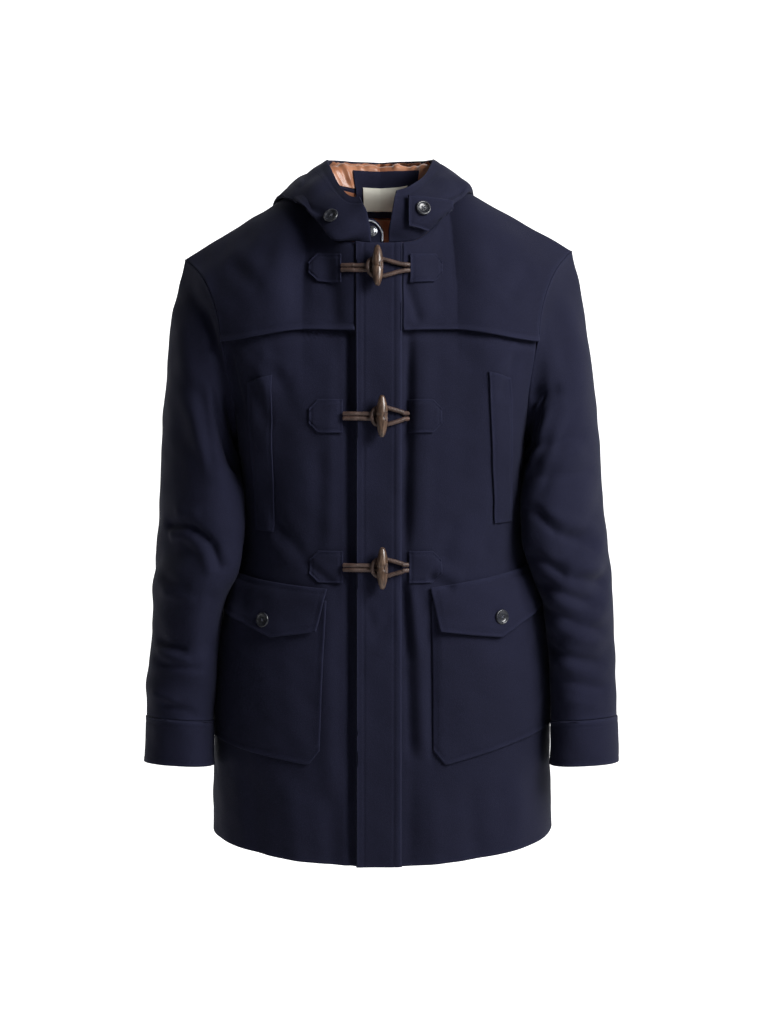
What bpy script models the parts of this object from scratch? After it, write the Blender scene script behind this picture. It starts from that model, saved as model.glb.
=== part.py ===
"""Hooded wool duffle coat in the hollow shape it has when worn.

Metres, +Z up.  The front faces -Y and the wearer's left is +X.  The origin is the centre of the
neck base, on the level of the neck ends of the shoulder seams.  Every cloth piece is a closed wall
made from a grid of points on a smooth surface; what lies on a panel is made from the panel's own
surface, moved out.
"""
import bmesh
import bpy
import numpy as np

# ---------------------------------------------------------------- driving dimensions
SEAM = 0.0003            # gap between two pieces sewn edge to edge
CLOTH = 0.0022           # melton wall
LINING = 0.0010          # satin wall
BAND = 0.0030            # doubled cloth of placket, cuffs and throat tab
LIFT = 0.0006            # gap under a piece laid on a curved panel
YOKE_LIFT = 0.0012       # gap under the yokes, which reach over the bend at the neck
PATCH_CLOTH = 0.0018     # toggle patches and welts

CHEST_Z = -0.330         # level of the underarm points
HEM_SIDE_Z = -0.820
HEM_FRONT_Z = -0.834
HEM_BACK_Z = -0.822
NECK_SHARE_FRONT = 0.36  # share of a front's width that ends at the neckline
NECK_SHARE_BACK = 0.34
ARMHOLE_REACH = 2.0      # power by which the armhole's own curve fades towards the centre
ARMHOLE_START = 0.90     # how fast a panel's edge climbs at the underarm
UNDERLAP_X = 0.0177      # the wearer's right front reaches this far past the centre

BODY_STEP = 0.070        # height between the rows of BODY, from the underarm down
BODY_COLUMNS = ("right_half_width", "left_half_width", "front_depth", "back_depth", "squareness")
BODY = (
    (0.1770, 0.1810, 0.148, 0.145, 3.50),   # underarm
    (0.1700, 0.1770, 0.147, 0.142, 2.80),
    (0.1735, 0.1820, 0.149, 0.143, 2.60),   # waist
    (0.1960, 0.2070, 0.154, 0.147, 2.50),
    (0.2060, 0.2145, 0.159, 0.150, 2.45),   # hip
    (0.2105, 0.2165, 0.162, 0.151, 2.40),
    (0.2130, 0.2180, 0.164, 0.151, 2.40),
    (0.2145, 0.2200, 0.165, 0.150, 2.40),   # hem
)

POINT_COLUMNS = ("x", "y", "z")
NECK_FRONT = (           # neckline of a front, centre to the shoulder seam
    (0.000, -0.106, -0.081),
    (0.025, -0.104, -0.080),
    (0.048, -0.094, -0.075),
    (0.066, -0.070, -0.058),
    (0.079, -0.033, -0.030),
    (0.083, 0.012, -0.004),
)
NECK_BACK = (            # neckline of the back, centre to the shoulder seam
    (0.000, 0.076, -0.016),
    (0.030, 0.073, -0.013),
    (0.058, 0.056, -0.007),
    (0.083, 0.012, -0.004),
)
ARMHOLE_FRONT = (        # underarm to shoulder tip
    (0.181, 0.000, -0.330),
    (0.181, -0.050, -0.312),
    (0.182, -0.083, -0.265),
    (0.190, -0.094, -0.208),
    (0.196, -0.085, -0.160),
    (0.213, -0.052, -0.118),
    (0.239, 0.003, -0.090),
)
ARMHOLE_BACK = (
    (0.181, 0.000, -0.330),
    (0.182, 0.048, -0.315),
    (0.186, 0.080, -0.268),
    (0.194, 0.092, -0.205),
    (0.203, 0.080, -0.150),
    (0.220, 0.045, -0.112),
    (0.239, 0.003, -0.090),
)
SHOULDER_TIP = {1: (0.239, 0.003, -0.090), -1: (0.243, 0.003, -0.101)}

SLEEVE_COLUMNS = ("inner_x", "inner_z", "outer_x", "outer_z", "mid_y", "half_depth", "tilt")
SLEEVE = {
    1: (
        (0.1810, -0.330, 0.2390, -0.090, 0.000, 0.093, 0.00),
        (0.1872, -0.336, 0.2500, -0.130, 0.000, 0.088, 0.00),
        (0.1816, -0.346, 0.2595, -0.190, -0.003, 0.084, 0.00),
        (0.1796, -0.364, 0.2675, -0.250, -0.007, 0.081, 0.02),
        (0.1769, -0.390, 0.2745, -0.311, -0.012, 0.078, 0.04),
        (0.1766, -0.420, 0.2783, -0.372, -0.018, 0.075, 0.06),
        (0.1782, -0.448, 0.2820, -0.430, -0.025, 0.073, 0.08),   # elbow
        (0.1888, -0.484, 0.2882, -0.474, -0.031, 0.070, 0.10),
        (0.2018, -0.520, 0.2905, -0.512, -0.036, 0.066, 0.12),
        (0.2092, -0.558, 0.2928, -0.552, -0.041, 0.062, 0.13),
        (0.2125, -0.596, 0.2942, -0.591, -0.046, 0.059, 0.13),
        (0.2142, -0.633, 0.2952, -0.630, -0.050, 0.056, 0.13),
        (0.2158, -0.671, 0.2958, -0.669, -0.054, 0.053, 0.13),   # top of the cuff
        (0.2152, -0.727, 0.2980, -0.727, -0.060, 0.051, 0.13),   # end of the cuff
    ),
    -1: (
        (0.1760, -0.330, 0.2430, -0.101, 0.000, 0.093, 0.00),
        (0.1834, -0.336, 0.2530, -0.138, 0.000, 0.088, 0.00),
        (0.1770, -0.346, 0.2630, -0.190, -0.003, 0.084, 0.00),
        (0.1742, -0.364, 0.2680, -0.250, -0.007, 0.081, 0.02),
        (0.1706, -0.390, 0.2735, -0.311, -0.012, 0.078, 0.04),
        (0.1690, -0.420, 0.2757, -0.372, -0.018, 0.075, 0.06),
        (0.1698, -0.448, 0.2780, -0.430, -0.025, 0.073, 0.08),
        (0.1784, -0.484, 0.2825, -0.474, -0.031, 0.070, 0.10),
        (0.1932, -0.520, 0.2835, -0.512, -0.036, 0.066, 0.12),
        (0.2008, -0.558, 0.2850, -0.552, -0.041, 0.062, 0.13),
        (0.2035, -0.596, 0.2875, -0.591, -0.046, 0.059, 0.13),
        (0.2068, -0.633, 0.2905, -0.630, -0.050, 0.056, 0.13),
        (0.2100, -0.671, 0.2912, -0.669, -0.054, 0.053, 0.13),
        (0.2100, -0.727, 0.2935, -0.727, -0.060, 0.051, 0.13),
    ),
}
CUFF_ROW = 12            # row of SLEEVE where the cuff begins
HEAD_ROWS = 3.0          # rows over which the sleeve head leaves the armhole's own curve
SLEEVE_SQUARENESS = 2.20
INNER_AHEAD = 0.042      # the inner edge of a sleeve lies this much further forward
CUFF_PROUD = 0.0012
SLEEVE_EASE = 0.0020     # fullness added all round a sleeve below its head
HEAD_GAP = 0.0006        # set back of the sleeve head, whose edge meets the armhole at an angle

FOLD_COLUMNS = ("side", "row", "turn", "slant", "half_length", "half_width", "rise")
SLEEVE_FOLDS = (         # turn 0 outer, 0.25 front, 0.5 inner, 0.75 back; rise in metres
    (1, 6.3, 0.22, 0.9, 0.16, 0.50, -0.0060),
    (1, 7.2, 0.24, 1.0, 0.17, 0.55, 0.0055),
    (1, 8.1, 0.20, 1.1, 0.15, 0.45, -0.0050),
    (1, 8.9, 0.22, 0.9, 0.16, 0.50, 0.0045),
    (1, 10.2, 0.20, 0.7, 0.15, 0.45, -0.0035),
    (1, 7.0, 0.72, -0.8, 0.16, 0.60, -0.0050),
    (1, 8.6, 0.70, -0.6, 0.15, 0.55, 0.0040),
    (-1, 6.7, 0.18, -0.5, 0.20, 0.50, -0.0065),
    (-1, 7.6, 0.20, -0.3, 0.20, 0.55, 0.0055),
    (-1, 9.6, 0.22, 0.1, 0.17, 0.35, -0.0045),
    (-1, 10.3, 0.22, 0.1, 0.17, 0.35, 0.0040),
    (-1, 11.2, 0.14, 0.2, 0.14, 0.40, 0.0040),
    (-1, 7.2, 0.72, 0.7, 0.16, 0.60, -0.0050),
    (-1, 9.0, 0.70, 0.5, 0.15, 0.55, 0.0040),
)

PLACKET_LEFT_X = -0.0285
PLACKET_RIGHT_X = 0.0265
YOKE_Z = -0.186          # lower edge of the yoke flaps, at the centre
YOKE_DROP = 0.014        # how much lower it is at the armholes
YOKE_BACK_Z = -0.190
YOKE_START_SHARE = 0.10
YOKE_END = 0.07          # share of its last facets that a yoke stops short of the seams
YOKE_SHORT_SHARES = {-1: (0.13, 0.46), 1: (-0.01, 0.46)}   # columns that end under the hood's roll
YOKE_CORNER = (0.29, 0.40)   # columns of a front yoke that end lower still, at the corner of the neck
YOKE_CORNER_CUT = 0.55   # share of a row that the edge gives up there
EDGE_MARGIN = 0.006      # share of a panel left free above the placket
YOKE_START_RIGHT = 0.0295
YOKE_START_LEFT = 0.0275

TOGGLE_Z = (-0.1128, -0.2873, -0.4692)
TOGGLE_X = (-0.0020, 0.0026, 0.0030)
TOGGLE_OUT = 0.0160      # toggle axis in front of the front's surface
TOGGLE_PROFILE = (       # distance along the axis from the middle, radius
    (-0.0252, 0.0012),
    (-0.0245, 0.0027),
    (-0.0205, 0.0046),
    (-0.0140, 0.0060),
    (-0.0060, 0.0067),
    (0.0060, 0.0067),
    (0.0140, 0.0060),
    (0.0205, 0.0046),
    (0.0245, 0.0027),
    (0.0252, 0.0012),
)
PATCH_HALF_HEIGHT = (0.0170, 0.0200, 0.0195)
PATCH_INNER_X = {1: 0.0345, -1: 0.0440}
PATCH_OUTER_X = {1: 0.0745, -1: 0.0850}
PATCH_CHAMFER = 0.011
PATCH_LIFT = 0.0011
CORD_RADIUS = 0.0024
CORD_SIDES = 6
CORD_OUT = 0.0064        # cord axis in front of the front's surface, over the placket
CORD_COLUMNS = ("x_from_toggle", "z_from_toggle", "out")
TOGGLE_CORD = (          # upper half of the hairpin behind a toggle, placket edge to the bend
    (-0.0255, 0.0031, 0.0063),
    (-0.0120, 0.0031, 0.0063),
    (-0.0020, 0.0031, 0.0063),
    (0.0000, 0.0026, 0.0063),
    (0.0014, 0.0000, 0.0063),
)
LOOP_CORD = (            # upper half of the loop round a toggle, placket edge to the bend
    (0.0235, 0.0048, 0.0066),
    (0.0120, 0.0082, 0.0064),
    (0.0020, 0.0106, 0.0064),
    (-0.0048, 0.0104, 0.0078),
    (-0.0099, 0.0068, 0.0104),
    (-0.0121, 0.0000, 0.0116),
)

WELT_LIFT = 0.0014
WELT_COLUMNS = ("inner_x", "outer_x", "z")
WELT = {
    1: ((0.1385, 0.1600, -0.4200), (0.1300, 0.1585, -0.2385)),
    -1: ((0.1290, 0.1500, -0.4300), (0.1300, 0.1600, -0.2430)),
}

POCKET_COLUMNS = (
    "inner_top_x", "inner_low_x", "inner_low_z", "corner_x", "corner_z", "side_x", "side_z",
)
POCKET = {
    1: (0.0635, 0.0650, -0.692, 0.0790, -0.710, 0.206, -0.680),
    -1: (0.0650, 0.0730, -0.692, 0.0860, -0.710, 0.200, -0.695),
}
POCKET_TOP_Z = -0.510
POCKET_SIDE_SHARE = 0.952
FLAP_COLUMNS = (
    "top_x", "top_z", "low_x", "low_z", "point_x", "point_z", "side_x", "side_top_z", "side_low_z",
)
FLAP = {
    1: (0.0606, -0.4944, 0.0716, -0.5470, 0.1440, -0.5575, 0.1960, -0.4760, -0.5250),
    -1: (0.0630, -0.4956, 0.0750, -0.5470, 0.1290, -0.5570, 0.1960, -0.4860, -0.5300),
}
FLAP_SIDE_SHARE = 0.960
FLAP_LIFT = 0.0034
BUTTON_PROFILE = (       # height above the cloth, radius
    (0.0000, 0.0084),
    (0.0008, 0.0092),
    (0.0026, 0.0092),
    (0.0034, 0.0083),
    (0.0034, 0.0064),
    (0.0026, 0.0054),
)
SNAP_PROFILE = ((0.0000, 0.0060), (0.0008, 0.0064), (0.0022, 0.0056), (0.0030, 0.0030))
FLAP_BUTTON = {1: (0.1440, -0.5335), -1: (0.1380, -0.5370)}
THROAT_BUTTON_X = 0.0580
THROAT_BUTTON_Z = -0.0495
TAB_COLUMNS = ("x", "z")
TAB = ((0.0335, -0.0610), (0.0760, -0.0665), (0.0865, -0.0320), (0.0325, -0.0265))
TAB_BUTTON = (0.0500, -0.0425)
TAB_LIFT = (0.0038, 0.0026)   # gap under the tab at its two ends

TONGUE_X = (-0.0220, -0.0150, -0.0080, -0.0010, 0.0040)
TONGUE_BEND_Z = (-0.090, -0.079, -0.052)    # seated on the front's inner face, bend, top
TONGUE_BEND_Y = (-0.1010, -0.0965)          # at the bend and at the top
TONGUE_TOP_Z = (-0.052, -0.051, -0.052, -0.057, -0.066)
SNAP_XZ = (-0.0096, -0.0670)

PATCH_X = (-0.0320, -0.0160, 0.0000, 0.0160, 0.0320, 0.0480)
PATCH_Z = (-0.0440, -0.0340, -0.0240)
PATCH_HOOD_LINES = (0.0, 0.35, 0.70, 0.86)
LABEL_X = (-0.0220, -0.0100, 0.0000, 0.0120, 0.0240, 0.0360)
LABEL_Z = (-0.0352, -0.0270, -0.0200)
LABEL_HOOD_LINES = (0.0, 0.16)
NECK_PATCH_IN = 0.0040   # face of the neck patch's underside inside the coat's outer surface
NECK_LINING_IN = 0.0042
NECK_LINING_Z = (-0.100, -0.072, -0.046)
NECK_LINING_X = (-0.060, -0.040, -0.020, 0.000, 0.020, 0.040, 0.060)

HOOD_RINGS = ("neck", "stand", "fall", "bottom", "rear", "edge")
HOOD_STATIONS = ("throat", "throat_side", "neck_front", "neck_side", "shoulder", "nape_side", "rear", "nape")
HOOD = {                 # x, y, z at each station, for the wearer's left half
    "stand": (
        (0.0110, -0.109, -0.064), (0.0395, -0.107, -0.064), (0.0630, -0.093, -0.055),
        (0.0820, -0.060, -0.028), (0.0930, -0.014, -0.0040), (0.0880, 0.042, 0.008),
        (0.0540, 0.080, 0.016), (0.0000, 0.092, 0.014),
    ),
    "fall": (
        (0.0135, -0.109, -0.050), (0.0430, -0.107, -0.051), (0.0700, -0.094, -0.047),
        (0.0925, -0.061, -0.031), (0.1055, -0.010, -0.0150), (0.1080, 0.062, -0.015),
        (0.0800, 0.128, -0.062), (0.0000, 0.148, -0.085),
    ),
    "bottom": (
        (0.0155, -0.107, -0.038), (0.0445, -0.103, -0.039), (0.0720, -0.087, -0.036),
        (0.0960, -0.051, -0.021), (0.1150, 0.002, -0.011), (0.1190, 0.095, -0.056),
        (0.0950, 0.172, -0.168), (0.0000, 0.183, -0.235),
    ),
    "rear": (
        (0.0175, -0.103, -0.027), (0.0420, -0.093, -0.024), (0.0650, -0.070, -0.017),
        (0.0850, -0.034, -0.002), (0.1010, 0.012, 0.004), (0.1070, 0.100, -0.010),
        (0.0840, 0.178, -0.066), (0.0000, 0.203, -0.105),
    ),
    "edge": (
        (0.0200, -0.094, -0.0175), (0.0360, -0.080, -0.0115), (0.0510, -0.047, -0.001),
        (0.0610, -0.015, 0.014), (0.0660, 0.022, 0.0260), (0.0640, 0.072, 0.028),
        (0.0420, 0.126, 0.030), (0.0000, 0.147, 0.029),
    ),
}
SHIFT_COLUMNS = ("ring", "station", "half_width", "dx", "dy", "dz")
HOOD_RIGHT_SHIFTS = (    # how the wearer's right half differs: it lies lower and further out
    (1, 1.5, 0.9, 0.0030, -0.0090, -0.0160),
    (2, 1.5, 1.0, 0.0030, -0.0080, -0.0160),
    (3, 1.4, 1.2, 0.0030, -0.0050, -0.0120),
    (4, 0.8, 1.3, 0.0040, -0.0020, -0.0100),
    (5, 0.6, 1.3, 0.0050, 0.0000, -0.0100),
    (2, 4.3, 1.2, 0.0060, 0.0000, 0.0020),
    (3, 4.3, 1.2, 0.0170, 0.0040, -0.0150),
    (4, 4.3, 1.2, 0.0080, 0.0000, -0.0090),
)
HOOD_NECK_STATIONS = 4.55    # station where the shoulder seams meet the neck
LINING_FIRST_STATION = 5.35  # from here to the nape the hood hangs open and shows its lining

COLOURS = {              # base colour, roughness, metallic
    "wool": ((0.018, 0.020, 0.045, 1), 0.95, 0.0),
    "satin": ((0.42, 0.20, 0.11, 1), 0.38, 0.0),
    "label": ((0.62, 0.60, 0.50, 1), 0.85, 0.0),
    "horn": ((0.20, 0.12, 0.07, 1), 0.35, 0.0),
    "leather": ((0.16, 0.075, 0.045, 1), 0.60, 0.0),
    "button": ((0.020, 0.020, 0.024, 1), 0.30, 0.0),
    "piping": ((0.50, 0.52, 0.55, 1), 0.80, 0.0),
    "metal": ((0.60, 0.60, 0.62, 1), 0.25, 1.0),
}

# ---------------------------------------------------------------- grid lines of the walls
FRONT_COLUMNS = (0.0, 0.045, 0.09, 0.14, 0.19, 0.245, 0.30, 0.36, 0.45, 0.55, 0.65, 0.75, 0.84, 0.92, 1.0)
BACK_COLUMNS = (0.0, 0.06, 0.12, 0.18, 0.25, 0.34, 0.45, 0.57, 0.69, 0.80, 0.90, 1.0)
LOWER_ROWS = (0.0, 0.17, 0.33, 0.44, 0.55, 0.64, 0.72, 0.80, 0.90)
YOKE_LINE = 1.40
UPPER_ROWS = (1.0, 1.035, 1.09, 1.17, 1.28, YOKE_LINE, 1.53, 1.66, 1.79, 1.90, 2.0)
ROWS = LOWER_ROWS + UPPER_ROWS
SLEEVE_ROWS = (0, 0.5, 1, 1.6, 2.3, 3, 4, 5, 5.7, 6.2, 6.7, 7.2, 7.7, 8.2, 8.8, 9.5, 10.1, 10.7, 11.3, 12)
HOOD_COLUMNS = (0, 0.4, 0.827, 1.517, 2.206, 2.964, 3.723, 4.15, 4.55, 4.95, 5.35, 5.75, 6.135, 6.568, 7)
HOOD_LINES = (0.0, 0.35, 0.7, 1.0, 1.35, 1.8, 2.4, 2.8, 3.2, 3.6, 4.3, 5.0)


# ---------------------------------------------------------------- curves and surfaces
def spline(rows, t):
    """Smooth curve through the rows; t counts rows from 0."""
    rows = np.asarray(rows, float)
    t = np.asarray(t, float)
    ends = np.vstack([2 * rows[0] - rows[1], rows, 2 * rows[-1] - rows[-2]])
    i = np.clip(np.floor(t).astype(int), 0, len(rows) - 2)
    f = (t - i)[..., None]
    a, b, c, d = ends[i], ends[i + 1], ends[i + 2], ends[i + 3]
    return 0.5 * (2 * b + (c - a) * f + (2 * a - 5 * b + 4 * c - d) * f**2 + (3 * b - a - 3 * c + d) * f**3)


def smooth(low, high, value):
    """0 below low, 1 above high, with a soft start and end."""
    t = np.clip((value - low) / (high - low), 0.0, 1.0)
    return t * t * (3 - 2 * t)


def hermite(start, end, start_slope, end_slope, q):
    q = q[..., None]
    return (
        (2 * q**3 - 3 * q**2 + 1) * start
        + (q**3 - 2 * q**2 + q) * start_slope
        + (3 * q**2 - 2 * q**3) * end
        + (q**3 - q**2) * end_slope
    )


def body_section(side, face, u, z):
    """Point at share u of the way from the centre to the side seam, on the section at height z."""
    sizes = spline(BODY, (CHEST_Z - z) / BODY_STEP)
    half_width = sizes[..., 1 if side > 0 else 0]
    depth = sizes[..., 2 if face < 0 else 3]
    angle = u * np.pi / 2
    sine = np.sin(angle)
    cosine = np.clip(np.cos(angle), 0.0, 1.0)
    power = sizes[..., 4]
    radius = ((sine / half_width) ** power + (cosine / depth) ** power) ** (-1 / power)
    return np.stack([side * radius * sine, face * radius * cosine, z], axis=-1)


def armhole(side, face, q):
    """Armhole edge of a panel, q 0 at the underarm and 1 at the shoulder tip."""
    rows = np.array(ARMHOLE_FRONT if face < 0 else ARMHOLE_BACK)
    tip = np.array(SHOULDER_TIP[side])
    dense = np.linspace(0, len(rows) - 1, 240)
    heights = spline(rows, dense)[:, 2]
    climb = rows[-1][2] - rows[0][2]
    height = rows[0][2] + climb * (3 * q**2 - 2 * q**3 + ARMHOLE_START * (q**3 - 2 * q**2 + q))
    point = spline(rows, np.interp(height, heights, dense))
    underarm = spline(BODY, 0.0)[1 if side > 0 else 0]
    point[..., 0] += (tip[0] - rows[-1][0]) * q**2 + (underarm - rows[0][0]) * (1 - q) ** 2
    point[..., 2] += (tip[2] - rows[-1][2]) * q
    point[..., 0] *= side
    return point


def top_edge(side, face, u):
    """Neckline and shoulder seam of a panel."""
    rows = NECK_FRONT if face < 0 else NECK_BACK
    share = NECK_SHARE_FRONT if face < 0 else NECK_SHARE_BACK
    neck = spline(rows, np.clip(u / share, 0, 1) * (len(rows) - 1))
    start = np.array(rows[-1])
    along = np.clip((u - share) / (1 - share), 0, 1)[..., None]
    shoulder = start + (np.array(SHOULDER_TIP[side]) - start) * along
    point = np.where((u <= share)[..., None], neck, shoulder)
    return point * np.array([side, 1.0, 1.0])


def panel(side, face, u, v):
    """Body surface.  u: 0 centre to 1 side; v: 0 hem, 1 underarm level, 2 neckline and shoulder."""
    u, v = np.broadcast_arrays(np.asarray(u, float), np.asarray(v, float))
    across = np.where(u < 0, -1.0, 1.0)
    u = np.abs(u)
    hem_mid = HEM_FRONT_Z if face < 0 else HEM_BACK_Z
    hem = HEM_SIDE_Z + (hem_mid - HEM_SIDE_Z) * np.cos(u * np.pi / 2) ** 2
    low_z = hem + (CHEST_Z - hem) * np.minimum(v, 1.0)
    low = body_section(side, face, u, low_z)
    q = np.clip(v - 1.0, 0.0, 1.0)

    def from_chest(u, q):
        level = np.full(u.shape, CHEST_Z)
        start = body_section(side, face, u, level)
        end = top_edge(side, face, u)
        rise = (start - body_section(side, face, u, level - 0.01)) / 0.01
        reach = np.linalg.norm(end - start, axis=-1)[..., None]
        blend = smooth(0.12, 0.50, u)[..., None]
        neck_way = np.array([0.0, -face * 0.38, 0.92]) * 0.70
        shoulder_way = np.array([0.0, -face * 1.0, 0.0]) * 0.80
        finish = (neck_way * (1 - blend) + shoulder_way * blend) * reach
        return hermite(start, end, rise * reach, finish, q)

    edge = armhole(side, face, q)
    reach = np.arctan2(np.abs(edge[..., 0]), np.abs(edge[..., 1])) / (np.pi / 2)
    high = from_chest(u * reach, q)
    high = high + (edge - from_chest(reach, q)) * (u**ARMHOLE_REACH)[..., None]
    point = np.where((v > 1.0)[..., None], high, low)
    point[..., 0] *= across
    return point


def v_where(side, face, u, height_of):
    """Row v where a panel's column u reaches the height that a rule gives for its distance x."""
    u = np.asarray(u, float)
    low = np.zeros(u.shape)
    high = np.full(u.shape, 2.0)
    for _ in range(32):
        mid = (low + high) / 2
        point = panel(side, face, u, mid)
        below = point[..., 2] < height_of(np.abs(point[..., 0]))
        low = np.where(below, mid, low)
        high = np.where(below, high, mid)
    return low


def yoke_row(side, face, u):
    """Row v where the yoke's lower edge crosses column u."""
    if face > 0:
        return v_where(side, face, u, lambda x: YOKE_BACK_Z)
    return v_where(side, face, u, lambda x: YOKE_Z - YOKE_DROP * smooth(0.09, 0.20, x))


def row_of(side, face, u, line):
    """Row v of a grid line; line YOKE_LINE follows the yoke's lower edge, the rest share the space."""
    crossing = yoke_row(side, face, u)
    below = 1 + (line - 1) / (YOKE_LINE - 1) * (crossing - 1)
    above = crossing + (line - YOKE_LINE) / (2 - YOKE_LINE) * (2 - crossing)
    line = np.asarray(line, float)
    return np.where(line <= 1, line, np.where(line <= YOKE_LINE, below, above))


def sleeve(side, turn, row):
    """Sleeve surface.  turn: 0 outer, 0.25 front, 0.5 inner, 0.75 back; row counts rows of SLEEVE."""
    turn, row = np.broadcast_arrays(np.asarray(turn, float), np.asarray(row, float))
    data = spline(SLEEVE[side], row)
    ahead = INNER_AHEAD * smooth(0.5, 4.0, row) * (1 - 0.6 * smooth(7.0, 12.0, row))
    inner = np.stack([data[..., 0], data[..., 4] - ahead, data[..., 1]], axis=-1)
    outer = np.stack([data[..., 2], data[..., 4] + ahead / 3, data[..., 3]], axis=-1)
    first = np.array(SLEEVE[side][0])
    power = 2 / (2 + (SLEEVE_SQUARENESS - 2) * smooth(0.0, HEAD_ROWS, row))
    angle = turn * 2 * np.pi
    cosine = np.sign(np.cos(angle)) * np.abs(np.cos(angle)) ** power
    sine = np.sign(np.sin(angle)) * np.abs(np.sin(angle)) ** power
    ease = (SLEEVE_EASE * smooth(0.0, 1.5, row))[..., None]
    half = (outer - inner) / 2
    half = half + half / np.linalg.norm(half, axis=-1, keepdims=True) * ease
    forward = np.stack([np.zeros(row.shape), -data[..., 5], data[..., 6] * data[..., 5]], axis=-1)
    forward = forward + forward / np.linalg.norm(forward, axis=-1, keepdims=True) * ease
    point = (inner + outer) / 2 + half * cosine[..., None] + forward * sine[..., None]

    first_inner = np.array([first[0], first[4], first[1]])
    first_outer = np.array([first[2], first[4], first[3]])
    start = (first_inner + first_outer) / 2 + (first_outer - first_inner) / 2 * np.cos(angle)[..., None]
    start = start + np.array([0.0, -first[5], 0.0]) * np.sin(angle)[..., None]
    line = 1 + np.abs(1 - 2 * turn)
    q_front = row_of(side, -1, 1.0, line) - 1
    q_back = row_of(side, 1, 1.0, line) - 1
    hole = np.where((turn <= 0.5)[..., None], armhole(side, -1, q_front), armhole(side, 1, q_back))
    hole = hole * np.array([side, 1.0, 1.0])
    fade = 1 - smooth(0.0, HEAD_ROWS, row)
    point = point + (hole - start) * fade[..., None]

    outward = np.stack([cosine * 0.8, -sine, np.zeros(row.shape)], axis=-1)
    for fold_side, fold_row, fold_turn, slant, half_length, half_width, rise in SLEEVE_FOLDS:
        if fold_side != side:
            continue
        around = turn - fold_turn
        across = (row - fold_row - slant * around * 6) / half_width
        height = rise * np.exp(-(across**2)) * np.exp(-((around / half_length) ** 2))
        point = point + outward * height[..., None]
    return point * np.array([side, 1.0, 1.0])


def neck_seam(side, station):
    """Seam between hood and body; station counts HOOD_STATIONS, 0 at the throat."""
    front = station <= HOOD_NECK_STATIONS
    start = 0.030
    front_u = start + (NECK_SHARE_FRONT - start) * np.clip(station / HOOD_NECK_STATIONS, 0, 1)
    last = len(HOOD_STATIONS) - 1
    back_u = NECK_SHARE_BACK * np.clip((last - station) / (last - HOOD_NECK_STATIONS), 0, 1)
    return np.where(front[..., None], top_edge(side, -1, front_u), top_edge(side, 1, back_u))


def hood(side, station, line):
    """Outer face of a hood half.  line counts HOOD_RINGS from the neck seam to the face edge."""
    station, line = np.broadcast_arrays(np.asarray(station, float), np.asarray(line, float))
    rings = [neck_seam(side, station) * np.array([side, 1.0, 1.0])]
    for name in HOOD_RINGS[1:]:
        rings.append(spline(HOOD[name], station))
    rings = np.stack(rings, axis=0)
    if side < 0:
        for ring, centre, half_width, dx, dy, dz in HOOD_RIGHT_SHIFTS:
            share = np.exp(-(((station - centre) / half_width) ** 2))
            rings[ring] += share[..., None] * np.array([dx, dy, dz])
    first = 2 * rings[0] - rings[1]
    last = 2 * rings[-1] - rings[-2]
    ends = np.concatenate([first[None], rings, last[None]])
    i = np.clip(np.floor(line).astype(int), 0, len(HOOD_RINGS) - 2)
    f = (line - i)[..., None]
    pick = [np.take_along_axis(ends, (i + k)[None, ..., None], axis=0)[0] for k in range(4)]
    a, b, c, d = pick
    point = 0.5 * (2 * b + (c - a) * f + (2 * a - 5 * b + 4 * c - d) * f**2 + (3 * b - a - 3 * c + d) * f**3)
    return point * np.array([side, 1.0, 1.0])


def grid_normals(points, closed):
    """Unit normals of a grid of points, along the first two axes."""
    if closed:
        du = np.roll(points, -1, axis=0) - np.roll(points, 1, axis=0)
    else:
        du = np.gradient(points, axis=0)
    dv = np.gradient(points, axis=1)
    normal = np.cross(du, dv)
    return normal / np.maximum(np.linalg.norm(normal, axis=-1, keepdims=True), 1e-12)


class Sheet:
    """A surface sampled on its own grid lines, with normals that point out of the cloth."""

    def __init__(self, surface, us, vs, outward, closed=False):
        self.surface = surface
        self.us = np.array(us, float)
        self.vs = np.array(vs, float)
        self.closed = closed
        self.outward = outward
        self.points = surface(self.us[:, None], self.vs[None, :])
        self.normals = outward * grid_normals(self.points, closed)

    def off(self, distance):
        return self.points + self.normals * distance


def spot(surface, outward, u, v, u_end=1.0, v_end=2.0):
    """Points and outward normals of a surface at arrays of places."""
    step = 1e-3
    du = surface(np.minimum(u + step, u_end), v) - surface(u - step, v)
    dv = surface(u, np.minimum(v + step, v_end)) - surface(u, np.maximum(v - step, 0.0))
    normal = np.cross(du, dv)
    normal = outward * normal / np.linalg.norm(normal, axis=-1, keepdims=True)
    return surface(u, v), normal


def panel_spot(side, face, u, v):
    """Points and outward normals of a body panel."""
    return spot(lambda a, b: panel(side, face, a, b), -1 if side * face > 0 else 1, u, v)


def u_at(side, face, x, v):
    """Share u where a panel's row v has the distance x from the centre plane."""
    x, v = np.broadcast_arrays(np.asarray(x, float), np.asarray(v, float))
    low = np.zeros(x.shape)
    high = np.ones(x.shape)
    for _ in range(40):
        mid = (low + high) / 2
        inside = np.abs(panel(side, face, mid, v)[..., 0]) < x
        low = np.where(inside, mid, low)
        high = np.where(inside, high, mid)
    return low


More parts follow.
